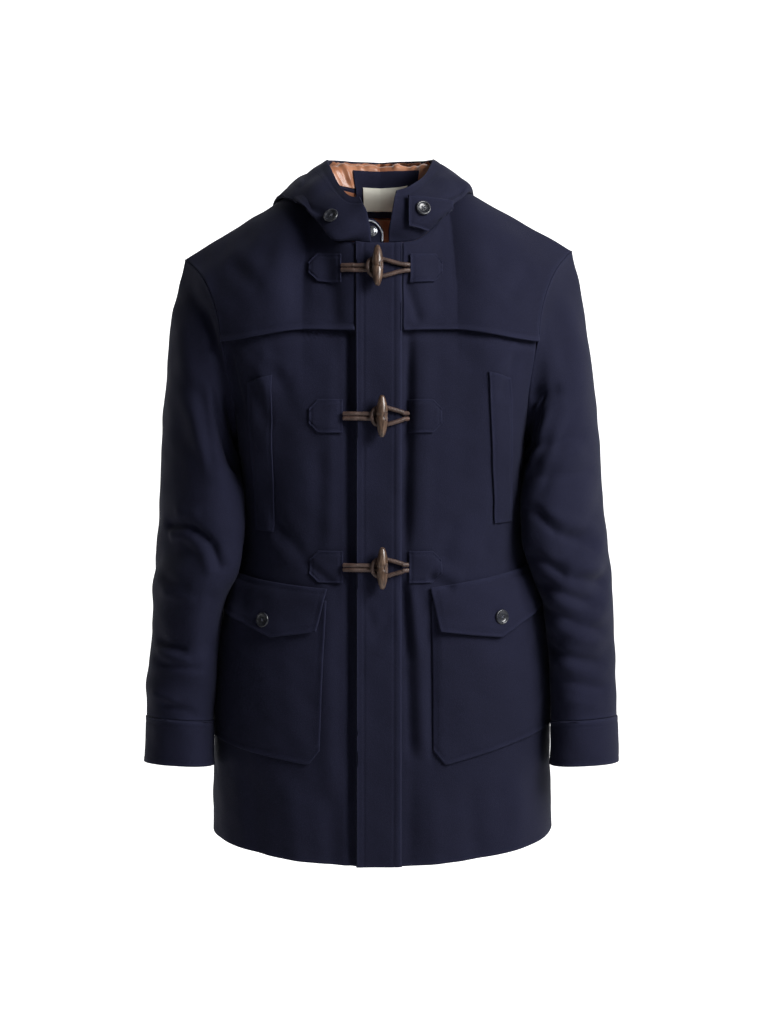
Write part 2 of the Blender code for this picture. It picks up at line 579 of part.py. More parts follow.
def find(surface, x, z, start):
    """Places on a surface whose points have the given x and z."""
    x, z = np.broadcast_arrays(np.asarray(x, float), np.asarray(z, float))
    a = np.full(x.shape, float(start[0]))
    b = np.full(x.shape, float(start[1]))
    step = 1e-4
    for _ in range(40):
        here = surface(a, b)
        by_a = (surface(a + step, b) - here) / step
        by_b = (surface(a, b + step) - here) / step
        miss_x = x - here[..., 0]
        miss_z = z - here[..., 2]
        whole = by_a[..., 0] * by_b[..., 2] - by_b[..., 0] * by_a[..., 2]
        da = (miss_x * by_b[..., 2] - by_b[..., 0] * miss_z) / whole
        db = (by_a[..., 0] * miss_z - miss_x * by_a[..., 2]) / whole
        a = a + np.clip(da, -0.15, 0.15)
        b = b + np.clip(db, -0.15, 0.15)
    return a, b


def place(side, face, x, z):
    """Shares (u, v) of the point of a panel at distance x from the centre plane and height z."""
    x = np.maximum(np.asarray(x, float), 1e-4)
    start_v = 1.5 if np.min(z) > CHEST_Z else 0.6
    return find(lambda a, b: panel(side, face, a, b) * np.array([side, 1.0, 1.0]), x, z, (0.3, start_v))


def on_panel(face, x, z, out):
    """Points at the distance out from a body panel, at signed x and height z."""
    x, z, out = np.broadcast_arrays(np.asarray(x, float), np.asarray(z, float), np.asarray(out, float))
    result = np.zeros(x.shape + (3,))
    for side in (1, -1):
        own = (x >= 0) if side > 0 else (x < 0)
        if own.any():
            u, v = place(side, face, np.abs(x[own]), z[own])
            points, normals = panel_spot(side, face, u, v)
            result[own] = points + normals * out[own][..., None]
    return result


# ---------------------------------------------------------------- solids
def clear_scene():
    for item in list(bpy.data.objects):
        bpy.data.objects.remove(item, do_unlink=True)


def material(name):
    found = bpy.data.materials.get(name)
    if found:
        return found
    colour, roughness, metallic = COLOURS[name]
    made = bpy.data.materials.new(name)
    made.use_nodes = True
    shader = made.node_tree.nodes["Principled BSDF"]
    shader.inputs["Base Color"].default_value = colour
    shader.inputs["Roughness"].default_value = roughness
    shader.inputs["Metallic"].default_value = metallic
    return made


def add_mesh(name, vertices, faces, material_name):
    mesh = bpy.data.meshes.new(name)
    mesh.from_pydata([tuple(p) for p in vertices], [], faces)
    work = bmesh.new()
    work.from_mesh(mesh)
    bmesh.ops.remove_doubles(work, verts=work.verts, dist=1e-7)
    bmesh.ops.recalc_face_normals(work, faces=work.faces)
    if work.calc_volume(signed=True) < 0:
        bmesh.ops.reverse_faces(work, faces=work.faces)
    work.to_mesh(mesh)
    work.free()
    mesh.shade_smooth()
    mesh.set_sharp_from_angle(angle=0.9)
    mesh.materials.append(material(material_name))
    made = bpy.data.objects.new(name, mesh)
    bpy.context.scene.collection.objects.link(made)
    return made


def wall(name, outer, inner, material_name, closed=False, mirror=0):
    """Closed solid between two grids of points; columns before mirror are split the other way."""
    nu, nv = outer.shape[:2]
    vertices = np.concatenate([outer.reshape(-1, 3), inner.reshape(-1, 3)])
    base = nu * nv

    def at(layer, i, j):
        return layer * base + (i % nu) * nv + j

    faces = []
    for i in range(nu if closed else nu - 1):
        for j in range(nv - 1):
            for layer in (0, 1):
                corners = [at(layer, i, j), at(layer, i + 1, j), at(layer, i + 1, j + 1), at(layer, i, j + 1)]
                if i < mirror:
                    corners = corners[1:] + corners[:1]
                first = (corners[0], corners[1], corners[2])
                second = (corners[0], corners[2], corners[3])
                faces += [first, second] if layer == 0 else [first[::-1], second[::-1]]
        for j in (0, nv - 1):
            faces.append((at(0, i, j), at(1, i, j), at(1, i + 1, j), at(0, i + 1, j)))
    if not closed:
        for j in range(nv - 1):
            for i in (0, nu - 1):
                faces.append((at(0, i, j), at(0, i, j + 1), at(1, i, j + 1), at(1, i, j)))
    return add_mesh(name, vertices, faces, material_name)


def edge_normals(side, face, u, normals):
    """Normals along a panel's top row: at the shoulder seam, midway between front and back."""
    share = NECK_SHARE_FRONT if face < 0 else NECK_SHARE_BACK
    other_share = NECK_SHARE_BACK if face < 0 else NECK_SHARE_FRONT
    other_u = other_share + (u - share) / (1 - share) * (1 - other_share)
    other = panel_spot(side, -face, np.maximum(other_u, other_share), np.full(u.shape, 2.0))[1]
    middle = normals + other
    length = np.linalg.norm(middle, axis=-1, keepdims=True)
    mitred = middle / length * (2 / length)
    return np.where((u >= share - 1e-6)[:, None], mitred, normals)


def laid_on(name, side, face, u, v, lift, thick, material_name):
    """Wall on a panel at the grid of places (u, v), its underside lifted off the panel."""
    points, normals = panel_spot(side, face, u, v)
    lift = np.broadcast_to(np.asarray(lift, float), u.shape)[..., None]
    return wall(name, points + normals * (lift + thick), points + normals * lift, material_name)


def add_rings(name, rings, material_name):
    """Closed solid through rings of points, capped at both ends."""
    sides = len(rings[0])
    vertices = np.concatenate(rings)
    faces = [tuple(range(sides))[::-1], tuple(range(len(vertices) - sides, len(vertices)))]
    for k in range(len(rings) - 1):
        for i in range(sides):
            j = (i + 1) % sides
            faces.append((k * sides + i, k * sides + j, (k + 1) * sides + j, (k + 1) * sides + i))
    return add_mesh(name, vertices, faces, material_name)


def tube(name, route, radius, material_name):
    """Round cord along a smooth curve through the route's points."""
    count = 2 * (len(route) - 1) + 1
    points = spline(route, np.linspace(0, len(route) - 1, count))
    way = np.gradient(points, axis=0)
    way /= np.linalg.norm(way, axis=1, keepdims=True)
    across = np.cross(way[0], (0.0, 1.0, 0.0))
    angles = np.arange(CORD_SIDES) * 2 * np.pi / CORD_SIDES
    vertices = []
    for point, along in zip(points, way):
        across = across - along * across.dot(along)
        across /= np.linalg.norm(across)
        other = np.cross(along, across)
        vertices.append(point + radius * (np.cos(angles)[:, None] * across + np.sin(angles)[:, None] * other))
    return add_rings(name, vertices, material_name)


def turned(name, profile, sides, centre, axis, material_name):
    """Solid turned round an axis; profile rows are (distance along the axis, radius)."""
    axis = np.array(axis, float) / np.linalg.norm(axis)
    across = np.cross(axis, (0.0, 0.0, 1.0) if abs(axis[2]) < 0.9 else (1.0, 0.0, 0.0))
    across /= np.linalg.norm(across)
    other = np.cross(axis, across)
    angles = np.arange(sides) * 2 * np.pi / sides
    rings = []
    for along, radius in profile:
        ring = centre + axis * along
        rings.append(ring + radius * (np.cos(angles)[:, None] * across + np.sin(angles)[:, None] * other))
    return add_rings(name, rings, material_name)


# ---------------------------------------------------------------- the coat
NAMES = {1: "left", -1: "right"}      # sides of the wearer


def grid_places(side, face, columns, lines):
    """Places (u, v) where a panel's columns cross its grid lines."""
    u = np.repeat(np.array(columns, float)[:, None], len(lines), axis=1)
    v = np.array([row_of(side, face, abs(c), np.array(lines)) for c in columns])
    return u, v


def front_sheet(side):
    own = [c for c in FRONT_COLUMNS if c > (0.075 if side > 0 else -0.001)]
    us, vs = grid_places(side, -1, [own[0]] + own, ROWS)
    if side > 0:
        us[0] = u_at(1, -1, UNDERLAP_X + SEAM, vs[0])
    else:
        us[0] = -u_at(-1, -1, UNDERLAP_X, vs[0])
    return us, vs


def build_fronts():
    for side in (1, -1):
        us, vs = front_sheet(side)
        points, normals = panel_spot(side, -1, us, vs)
        normals[:, -1] = edge_normals(side, -1, us[:, -1], normals[:, -1])
        points = pull_in(points, (-1,))
        wall(f"front_{NAMES[side]}", points, points - normals * CLOTH, "wool")


def build_back():
    columns = [-c for c in reversed(BACK_COLUMNS[1:])] + list(BACK_COLUMNS)
    rows = np.array(ROWS)
    both = []
    for c in columns:
        side = 1 if c >= 0 else -1
        both.append(panel_spot(side, 1, np.full(rows.shape, abs(c)), row_of(side, 1, abs(c), rows)))
    points = np.array([item[0] for item in both])
    normals = np.array([item[1] for item in both])
    middle = len(BACK_COLUMNS) - 1
    shares = np.array(BACK_COLUMNS)
    normals[middle:, -1] = edge_normals(1, 1, shares, normals[middle:, -1])
    normals[middle::-1, -1] = edge_normals(-1, 1, shares, normals[middle::-1, -1])
    points = pull_in(points, (0, -1))
    wall("back", points, points - normals * CLOTH, "wool", mirror=middle)


def pull_in(points, edges):
    """Moves the given edge columns and the top row of a grid in by the seam gap."""
    result = points.copy()
    for edge in edges:
        way = points[1 if edge == 0 else -2] - points[edge]
        result[edge] += SEAM * way / np.linalg.norm(way, axis=-1, keepdims=True)
    way = points[:, -2] - points[:, -1]
    result[:, -1] += SEAM * way / np.linalg.norm(way, axis=-1, keepdims=True)
    return result


def build_sleeves():
    ahead = (2.0 - np.array(UPPER_ROWS)) / 2
    turns = np.concatenate([ahead[::-1], 1 - ahead[1:-1]])
    for side in (1, -1):
        surface = lambda a, b: sleeve(side, a, b)
        sheet = Sheet(surface, turns, SLEEVE_ROWS, side, closed=True)
        outer = sheet.points.copy()
        line = 1 + np.abs(1 - 2 * turns)
        front = panel_spot(side, -1, np.ones(len(turns)), row_of(side, -1, 1.0, line))[1]
        rear = panel_spot(side, 1, np.ones(len(turns)), row_of(side, 1, 1.0, line))[1]
        normals = sheet.normals.copy()
        normals[:, 0] = np.where((turns <= 0.5)[:, None], front, rear)
        way = np.cross(np.roll(outer[:, 0], -1, axis=0) - np.roll(outer[:, 0], 1, axis=0), normals[:, 0])
        way *= -side
        outer[:, 0] += HEAD_GAP * way / np.linalg.norm(way, axis=-1, keepdims=True)
        inner = outer - normals * CLOTH
        wall(f"sleeve_{NAMES[side]}", outer, inner, "wool", closed=True)
        rows = np.linspace(CUFF_ROW + 0.01, len(SLEEVE[side]) - 1, 3)
        cuff = Sheet(surface, turns, rows, side, closed=True)
        wall(f"cuff_{NAMES[side]}", cuff.off(CUFF_PROUD), cuff.off(CUFF_PROUD - BAND), "wool", closed=True)


def yoke_half(side, face, columns, start_x=None):
    """Points and normals of a yoke half; under the roll of the hood it ends one row early."""
    lines = [r for r in UPPER_ROWS if r >= YOKE_LINE]
    u, v = grid_places(side, face, columns, lines)
    if start_x:
        u[0] = u_at(side, face, start_x, v[0])
    points, normals = panel_spot(side, face, u, v)
    normals[:, -1] = edge_normals(side, face, u[:, -1], normals[:, -1])
    low, high = YOKE_SHORT_SHARES[face]
    share = np.where((u[:, -1] > low) & (u[:, -1] < high), 1.0, YOKE_END)[:, None]
    near = (u[:, -1] > YOKE_CORNER[0]) & (u[:, -1] < YOKE_CORNER[1])
    corner = np.where(near, YOKE_CORNER_CUT, 0.0)[:, None]
    for item in (points, normals):
        if face < 0:
            item[:, -2] = item[:, -2] * (1 - corner) + item[:, -3] * corner
        item[:, -1] = item[:, -1] * (1 - share) + item[:, -2] * share
        item[-1] = item[-1] * (1 - YOKE_END) + item[-2] * YOKE_END
    return points, normals


def build_yokes():
    for side in (1, -1):
        columns = [YOKE_START_SHARE] + [c for c in FRONT_COLUMNS if c > YOKE_START_SHARE]
        points, normals = yoke_half(side, -1, columns, YOKE_START_RIGHT if side < 0 else YOKE_START_LEFT)
        lifted = points + normals * YOKE_LIFT
        wall(f"yoke_front_{NAMES[side]}", lifted + normals * CLOTH, lifted, "wool")
    left = yoke_half(1, 1, BACK_COLUMNS)
    right = yoke_half(-1, 1, BACK_COLUMNS)
    points, normals = [np.concatenate([b[:0:-1], a]) for a, b in zip(left, right)]
    lifted = points + normals * YOKE_LIFT
    wall("yoke_back", lifted + normals * CLOTH, lifted, "wool", mirror=len(BACK_COLUMNS) - 1)


def build_placket():
    lines = np.array(ROWS)
    lines[-1] -= EDGE_MARGIN
    outer = []
    inner = []
    for x in (PLACKET_LEFT_X, -0.0120, 0.0, UNDERLAP_X, PLACKET_RIGHT_X):
        side = -1 if x < 0 else 1
        v = row_of(side, -1, 0.05, lines)
        points, normals = panel_spot(side, -1, u_at(side, -1, abs(x), v), v)
        outer.append(points + normals * (LIFT + BAND))
        inner.append(points + normals * LIFT)
    wall("placket", np.array(outer), np.array(inner), "wool")


def build_fastenings():
    for k in range(3):
        x0, z0 = TOGGLE_X[k], TOGGLE_Z[k]
        under = YOKE_LIFT + CLOTH if k == 0 else 0.0
        lift = under + PATCH_LIFT
        for side in (1, -1):
            near, far = PATCH_INNER_X[side], PATCH_OUTER_X[side]
            across = np.array([near, (near + far) / 2, far - PATCH_CHAMFER, far])
            half = PATCH_HALF_HEIGHT[k] - np.array([0.0, 0.0, 0.0, PATCH_CHAMFER])
            up = np.linspace(-1, 1, 5)
            x = np.repeat(side * across[:, None], len(up), axis=1)
            z = z0 + half[:, None] * up[None, :]
            outer = on_panel(-1, x, z, lift + PATCH_CLOTH)
            wall(f"toggle_patch_{NAMES[side]}_{k + 1}", outer, on_panel(-1, x, z, lift), "wool")
        hairpin = [(-PATCH_INNER_X[-1] + SEAM * 2 - x0, 0.0031, max(lift + 0.0018, 0.0035))]
        hairpin += [(PLACKET_LEFT_X - 0.0030 - x0, 0.0031, CORD_OUT)] + list(TOGGLE_CORD)
        loop = [(PATCH_INNER_X[1] - SEAM * 2 - x0, 0.0031, max(lift + 0.0018, 0.0045))]
        loop += [(PLACKET_RIGHT_X + 0.0015 - x0, 0.0036, CORD_OUT)] + list(LOOP_CORD)
        for kind, rows in (("toggle_cord", hairpin), ("loop_cord", loop)):
            half = np.array(rows)
            route = np.concatenate([half, half[-2::-1] * np.array([1.0, -1.0, 1.0])])
            points = on_panel(-1, x0 + route[:, 0], z0 + route[:, 1], route[:, 2])
            tube(f"{kind}_{k + 1}", points, CORD_RADIUS, "leather")
        ends = on_panel(-1, np.full(3, x0), z0 + np.array([-0.02, 0.0, 0.02]), TOGGLE_OUT)
        turned(f"toggle_{k + 1}", TOGGLE_PROFILE, 12, ends[1], ends[2] - ends[0], "horn")


def build_welts():
    for side in (1, -1):
        low, top = np.array(WELT[side])
        ends = place(side, -1, (low[:2].mean(), top[:2].mean()), (low[2], top[2]))[1]
        own = row_of(side, -1, 0.5, np.array(ROWS))
        rows = np.array([ends[0]] + [r for r in own if ends[0] + 0.03 < r < ends[1] - 0.03] + [ends[1]])
        z = panel(side, -1, 0.5, rows)[..., 2]
        rise = (z - z[0]) / (z[-1] - z[0])
        us = [u_at(side, -1, low[k] + (top[k] - low[k]) * rise, rows) for k in (0, 1)]
        u = np.array([us[0], (us[0] + us[1]) / 2, us[1]])
        v = np.repeat(rows[None, :], 3, axis=0)
        laid_on(f"welt_{NAMES[side]}", side, -1, u, v, WELT_LIFT, PATCH_CLOTH, "wool")


def panel_columns(side, x_first, u_last, margin=0.03):
    """Columns of a front from a given x to a given share, on the panel's own columns between."""
    first = float(u_at(side, -1, x_first, 0.45))
    return [first] + [c for c in FRONT_COLUMNS if first + margin < c < u_last - 0.01] + [u_last]


def build_pockets():
    for side in (1, -1):
        top_x, low_x, low_z, corner_x, corner_z, side_x, side_z = POCKET[side]
        columns = panel_columns(side, corner_x, POCKET_SIDE_SHARE)
        u = np.array([columns[0]] + columns)

        def bottom(x):
            return np.interp(x, (low_x, corner_x, side_x), (low_z, corner_z, side_z))

        v_top = v_where(side, -1, u, lambda x: POCKET_TOP_Z)
        v_low = v_where(side, -1, u, bottom)
        v_low[0] = v_where(side, -1, u[0], lambda x: low_z)
        v = np.stack([v_low] + [np.full(u.shape, r) for r in (0.33, 0.44, 0.55)] + [v_top], axis=1)
        us = np.repeat(u[:, None], v.shape[1], axis=1)
        share = (v[0] - v[0, 0]) / (v[0, -1] - v[0, 0])
        us[0] = u_at(side, -1, low_x + (top_x - low_x) * share, v[0])
        laid_on(f"pocket_{NAMES[side]}", side, -1, us, v, LIFT, CLOTH, "wool")

        top_x, top_z, low_x, low_z, point_x, point_z, side_x, side_top_z, side_low_z = FLAP[side]
        columns = panel_columns(side, low_x, FLAP_SIDE_SHARE, 0.02)
        columns.append(float(u_at(side, -1, point_x, 0.54)))
        u = np.array(sorted(columns))

        def flap_low(x):
            return np.interp(x, (low_x, point_x, side_x), (low_z, point_z, side_low_z))

        def flap_top(x):
            return np.interp(x, (top_x, side_x), (top_z, side_top_z))

        v_low = v_where(side, -1, u, flap_low)
        v_top = v_where(side, -1, u, flap_top)
        v_mid = np.full(u.shape, 0.64)
        v = np.stack([v_low, (v_low + v_mid) / 2, v_mid, v_top], axis=1)
        us = np.repeat(u[:, None], v.shape[1], axis=1)
        share = (v[0] - v[0, 0]) / (v[0, -1] - v[0, 0])
        us[0] = u_at(side, -1, low_x + (top_x - low_x) * share, v[0])
        lift = np.array([FLAP_LIFT, FLAP_LIFT, FLAP_LIFT, 3 * LIFT])[None, :] + 0 * us
        laid_on(f"flap_{NAMES[side]}", side, -1, us, v, lift, CLOTH, "wool")

        x, z = FLAP_BUTTON[side]
        heights = np.array([0.0, 1.0]) + FLAP_LIFT + CLOTH + LIFT
        base = on_panel(-1, np.full(2, side * x), np.full(2, z), heights)
        turned(f"flap_button_{NAMES[side]}", BUTTON_PROFILE, 14, base[0], base[1] - base[0], "button")


def hood_grid(side):
    """Outer points and normals of a hood half on its own grid lines."""
    stations = np.array(HOOD_COLUMNS, float)
    points = hood(side, stations[:, None], np.array(HOOD_LINES)[None, :])
    normals = side * grid_normals(points, False)
    normals[-1, :, 0] = 0.0
    normals /= np.linalg.norm(normals, axis=-1, keepdims=True)
    points[-1, :, 0] = side * SEAM / 2
    last = len(HOOD_STATIONS) - 1
    front_u = 0.030 + (NECK_SHARE_FRONT - 0.030) * np.clip(stations / HOOD_NECK_STATIONS, 0, 1)
    back_u = NECK_SHARE_BACK * np.clip((last - stations) / (last - HOOD_NECK_STATIONS), 0, 1)
    top = np.full(stations.shape, 2.0)
    front = panel_spot(side, -1, front_u, top)[1]
    rear = panel_spot(side, 1, back_u, top)[1]
    for face, share in ((-1, front_u), (1, back_u)):
        own = np.array(FRONT_COLUMNS if face < 0 else BACK_COLUMNS)
        ends = top_edge(side, face, own)
        chord = np.stack([np.interp(share, own, ends[:, k]) for k in range(3)], axis=-1)
        mine = (stations <= HOOD_NECK_STATIONS) if face < 0 else (stations > HOOD_NECK_STATIONS)
        points[mine, 0] = chord[mine]
    seam = np.where((stations < HOOD_NECK_STATIONS)[:, None], front, rear)
    both = (front + rear) / np.linalg.norm(front + rear, axis=-1, keepdims=True)
    seam = np.where((np.abs(stations - HOOD_NECK_STATIONS) < 1e-6)[:, None], both, seam)
    way = points[:, 1] - points[:, 0]
    points[:, 0] += SEAM * way / np.linalg.norm(way, axis=-1, keepdims=True)
    normals[:, 0] = seam
    return points, normals


def between(grid, i, j):
    """Values of a grid at fractional indices, straight between its own lines."""
    i0 = np.clip(np.floor(i).astype(int), 0, grid.shape[0] - 2)
    j0 = np.clip(np.floor(j).astype(int), 0, grid.shape[1] - 2)
    fi = (i - i0)[..., None]
    fj = (j - j0)[..., None]
    low = grid[i0, j0] * (1 - fi) + grid[i0 + 1, j0] * fi
    high = grid[i0, j0 + 1] * (1 - fi) + grid[i0 + 1, j0 + 1] * fi
    return low * (1 - fj) + high * fj


def build_hood():
    for side in (1, -1):
        points, normals = hood_grid(side)
        wall(f"hood_{NAMES[side]}", points, points - normals * CLOTH, "wool")
        stations = np.arange(HOOD_COLUMNS.index(LINING_FIRST_STATION), len(HOOD_COLUMNS), dtype=float)
        edge = len(HOOD_LINES) - 1.10
        lines = np.array([0.12] + list(range(1, len(HOOD_LINES) - 1)) + [edge])
        i, j = np.meshgrid(stations, lines, indexing="ij")
        way = between(normals, i, j)
        outer = between(points, i, j) - way * (CLOTH + SEAM)
        wall(f"hood_lining_{NAMES[side]}", outer, outer - way * LINING, "satin")


def inside_neck(xs, zs, lines, depth):
    """Grid of points inside the back neck: up the back panel, across the seam, up the hood."""
    columns = []
    for x in xs:
        side = 1 if x >= 0 else -1
        u = float(u_at(side, 1, abs(x), 2.0))
        v = v_where(side, 1, np.full(len(zs), u), lambda x: np.array(zs))
        points, normals = panel_spot(side, 1, np.full(len(zs), u), v)
        column = list(points - normals * depth)
        if lines:
            last = len(HOOD_STATIONS) - 1
            narrow = 1 - 0.22 * np.array(lines)
            station = last - u / NECK_SHARE_BACK * (last - HOOD_NECK_STATIONS) * narrow
            grid, ways = hood_grid(side)
            i = np.interp(station, HOOD_COLUMNS, np.arange(len(HOOD_COLUMNS)))
            j = np.interp(lines, HOOD_LINES, np.arange(len(HOOD_LINES)))
            deep = depth * np.where(j < 0.1, 1.25, 1.0)[:, None]
            column += list(between(grid, i, j) - between(ways, i, j) * deep)
        columns.append(column)
    return np.array(columns)


def build_neck():
    near = NECK_PATCH_IN + LINING
    far = inside_neck(PATCH_X, PATCH_Z, PATCH_HOOD_LINES, NECK_PATCH_IN)
    wall("neck_patch", far, inside_neck(PATCH_X, PATCH_Z, PATCH_HOOD_LINES, near), "wool")
    far = inside_neck(LABEL_X, LABEL_Z, LABEL_HOOD_LINES, near + 3 * LIFT)
    near_face = inside_neck(LABEL_X, LABEL_Z, LABEL_HOOD_LINES, near + 3 * LIFT + LINING)
    wall("neck_label", far, near_face, "label")
    far = inside_neck(NECK_LINING_X, NECK_LINING_Z, (), NECK_LINING_IN)
    near_face = inside_neck(NECK_LINING_X, NECK_LINING_Z, (), NECK_LINING_IN + LINING)
    wall("neck_lining", far, near_face, "satin")

    xs = np.array(TONGUE_X)
    tops = np.array(TONGUE_TOP_Z)
    bottom, bend, top = TONGUE_BEND_Z
    above = bend + (tops[:, None] - bend) * np.linspace(0, 1, 3)[None, :]
    z = np.concatenate([np.full((len(xs), 1), bottom), above], axis=1)
    slope = (TONGUE_BEND_Y[1] - TONGUE_BEND_Y[0]) / (top - bend)
    seat = on_panel(-1, xs, np.full(len(xs), bottom), -(CLOTH + 3 * SEAM))[:, 1]
    y = np.concatenate([seat[:, None], TONGUE_BEND_Y[0] + (above - bend) * slope], axis=1)
    front = np.stack([xs[:, None] + 0 * z, y, z], axis=-1)
    wall("under_placket", front, front + np.array([0.0, CLOTH, 0.0]), "wool")

    rim_x = np.array(TONGUE_X[1:] + TONGUE_X[-1:]) - 0.0012
    rim_z = np.array(TONGUE_TOP_Z[1:] + (bend + 0.003,)) - 0.0030
    rim_y = TONGUE_BEND_Y[0] + (rim_z - bend) * slope - 0.0013
    tube("piping", np.stack([rim_x, rim_y, rim_z], axis=-1), 0.0008, "piping")
    centre = np.array([SNAP_XZ[0], TONGUE_BEND_Y[0] + (SNAP_XZ[1] - bend) * slope - 2 * SEAM, SNAP_XZ[1]])
    turned("snap", SNAP_PROFILE, 14, centre, (0.0, -1.0, slope), "metal")


def on_hood(side, x, z, out):
    """Points at the distance out from the front of a hood half, at distance x and height z."""
    flip = np.array([side, 1.0, 1.0])
    surface = lambda a, b: hood(side, a, b)
    a, b = find(lambda a, b: surface(a, b) * flip, x, z, (2.0, 2.0))
    points, normals = spot(surface, side, a, b, len(HOOD_STATIONS) - 1.0, len(HOOD_RINGS) - 1.0)
    return points + normals * np.broadcast_to(np.asarray(out, float), a.shape)[..., None]


def build_throat():
    corners = np.array(TAB)
    s = np.linspace(0, 1, 6)[:, None, None]
    t = np.linspace(0, 1, 5)[None, :, None]
    flat = (corners[0] * (1 - s) + corners[1] * s) * (1 - t) + (corners[3] * (1 - s) + corners[2] * s) * t
    x, z = flat[..., 0], flat[..., 1]
    lift = (TAB_LIFT[0] + (TAB_LIFT[1] - TAB_LIFT[0]) * s[..., 0]) + 0 * x
    wall("throat_tab", on_hood(1, x, z, lift + BAND), on_hood(1, x, z, lift), "wool")
    heights = np.array([0.0, 0.01])
    over = sum(TAB_LIFT) / 2 + BAND + LIFT
    base = on_hood(1, np.full(2, TAB_BUTTON[0]), np.full(2, TAB_BUTTON[1]), heights + over)
    turned("tab_button", BUTTON_PROFILE, 14, base[0], base[1] - base[0], "button")
    base = on_hood(-1, np.full(2, THROAT_BUTTON_X), np.full(2, THROAT_BUTTON_Z), heights + LIFT)
    turned("throat_button", BUTTON_PROFILE, 14, base[0], base[1] - base[0], "button")


def main():
    clear_scene()
    build_fronts()
    build_back()
    build_sleeves()
    build_yokes()
    build_placket()
    build_fastenings()
    build_welts()
    build_pockets()
    build_hood()
    build_neck()
    build_throat()


main()
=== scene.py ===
"""Looks of the hooded wool duffle coat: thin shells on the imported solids, with folds, seams and stitches.

Metres, in the frame's own axes: +Z up, the front faces -Y, the wearer's left is +X.
"""

import bpy
import bmesh
import numpy as np
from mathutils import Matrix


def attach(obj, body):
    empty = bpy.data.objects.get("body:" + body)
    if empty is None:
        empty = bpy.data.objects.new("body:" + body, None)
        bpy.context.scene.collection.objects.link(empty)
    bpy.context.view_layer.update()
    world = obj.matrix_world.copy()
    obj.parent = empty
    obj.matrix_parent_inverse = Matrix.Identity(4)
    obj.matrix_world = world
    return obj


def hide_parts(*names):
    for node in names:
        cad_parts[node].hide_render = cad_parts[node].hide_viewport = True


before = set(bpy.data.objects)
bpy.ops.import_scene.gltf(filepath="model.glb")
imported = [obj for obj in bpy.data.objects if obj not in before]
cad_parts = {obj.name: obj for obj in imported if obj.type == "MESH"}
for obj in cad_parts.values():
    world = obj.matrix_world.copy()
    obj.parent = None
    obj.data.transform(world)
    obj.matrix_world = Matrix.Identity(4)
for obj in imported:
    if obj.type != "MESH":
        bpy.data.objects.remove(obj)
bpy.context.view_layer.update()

# ---------------------------------------------------------------- driving dimensions
NAMES = {1: "left", -1: "right"}    # sides of the wearer
SEAM = 0.0003            # gap between two pieces sewn edge to edge
CLOTH = 0.0022           # melton wall
LINING = 0.0010          # satin wall
BAND = 0.0030            # doubled cloth of placket, cuffs and throat tab
LIFT = 0.0006            # gap under a piece laid on a curved panel
YOKE_LIFT = 0.0012       # gap under the yokes, which reach over the bend at the neck
PATCH_CLOTH = 0.0018     # toggle patches and welts

CHEST_Z = -0.330         # level of the underarm points
HEM_SIDE_Z = -0.820
HEM_FRONT_Z = -0.834
HEM_BACK_Z = -0.822
NECK_SHARE_FRONT = 0.36  # share of a front's width that ends at the neckline
NECK_SHARE_BACK = 0.34
YOKE_LINE = 1.40         # row of a panel's grid that follows the yoke's lower edge
ARMHOLE_REACH = 2.0      # power by which the armhole's own curve fades towards the centre
ARMHOLE_START = 0.90     # how fast a panel's edge climbs at the underarm
UNDERLAP_X = 0.0177      # the wearer's right front reaches this far past the centre
SLOPE_STEP = 0.01        # height over which the slope of the body's sections is taken
NECK_WAY = (0.38, 0.92)  # inward and upward part of a panel's direction at the neckline
NECK_PULL = 0.70         # how strongly a panel leaves the neckline and the shoulder seam that way
SHOULDER_PULL = 0.80

BODY_STEP = 0.070        # height between the rows of BODY, from the underarm down
# right and left half width, front and back depth, squareness of the body's sections
BODY = (
    (0.1770, 0.1810, 0.148, 0.145, 3.50),   # underarm
    (0.1700, 0.1770, 0.147, 0.142, 2.80),
    (0.1735, 0.1820, 0.149, 0.143, 2.60),   # waist
    (0.1960, 0.2070, 0.154, 0.147, 2.50),
    (0.2060, 0.2145, 0.159, 0.150, 2.45),   # hip
    (0.2105, 0.2165, 0.162, 0.151, 2.40),
    (0.2130, 0.2180, 0.164, 0.151, 2.40),
    (0.2145, 0.2200, 0.165, 0.150, 2.40),   # hem
)

# x, y, z along the necklines and armholes
NECK_FRONT = (           # centre to the shoulder seam
    (0.000, -0.106, -0.081),
    (0.025, -0.104, -0.080),
    (0.048, -0.094, -0.075),
    (0.066, -0.070, -0.058),
    (0.079, -0.033, -0.030),
    (0.083, 0.012, -0.004),
)
NECK_BACK = (            # centre to the shoulder seam
    (0.000, 0.076, -0.016),
    (0.030, 0.073, -0.013),
    (0.058, 0.056, -0.007),
    (0.083, 0.012, -0.004),
)
ARMHOLE_FRONT = (        # underarm to shoulder tip
    (0.181, 0.000, -0.330),
    (0.181, -0.050, -0.312),
    (0.182, -0.083, -0.265),
    (0.190, -0.094, -0.208),
    (0.196, -0.085, -0.160),
    (0.213, -0.052, -0.118),
    (0.239, 0.003, -0.090),
)
ARMHOLE_BACK = (
    (0.181, 0.000, -0.330),
    (0.182, 0.048, -0.315),
    (0.186, 0.080, -0.268),
    (0.194, 0.092, -0.205),
    (0.203, 0.080, -0.150),
    (0.220, 0.045, -0.112),
    (0.239, 0.003, -0.090),
)
SHOULDER_TIP = {1: (0.239, 0.003, -0.090), -1: (0.243, 0.003, -0.101)}

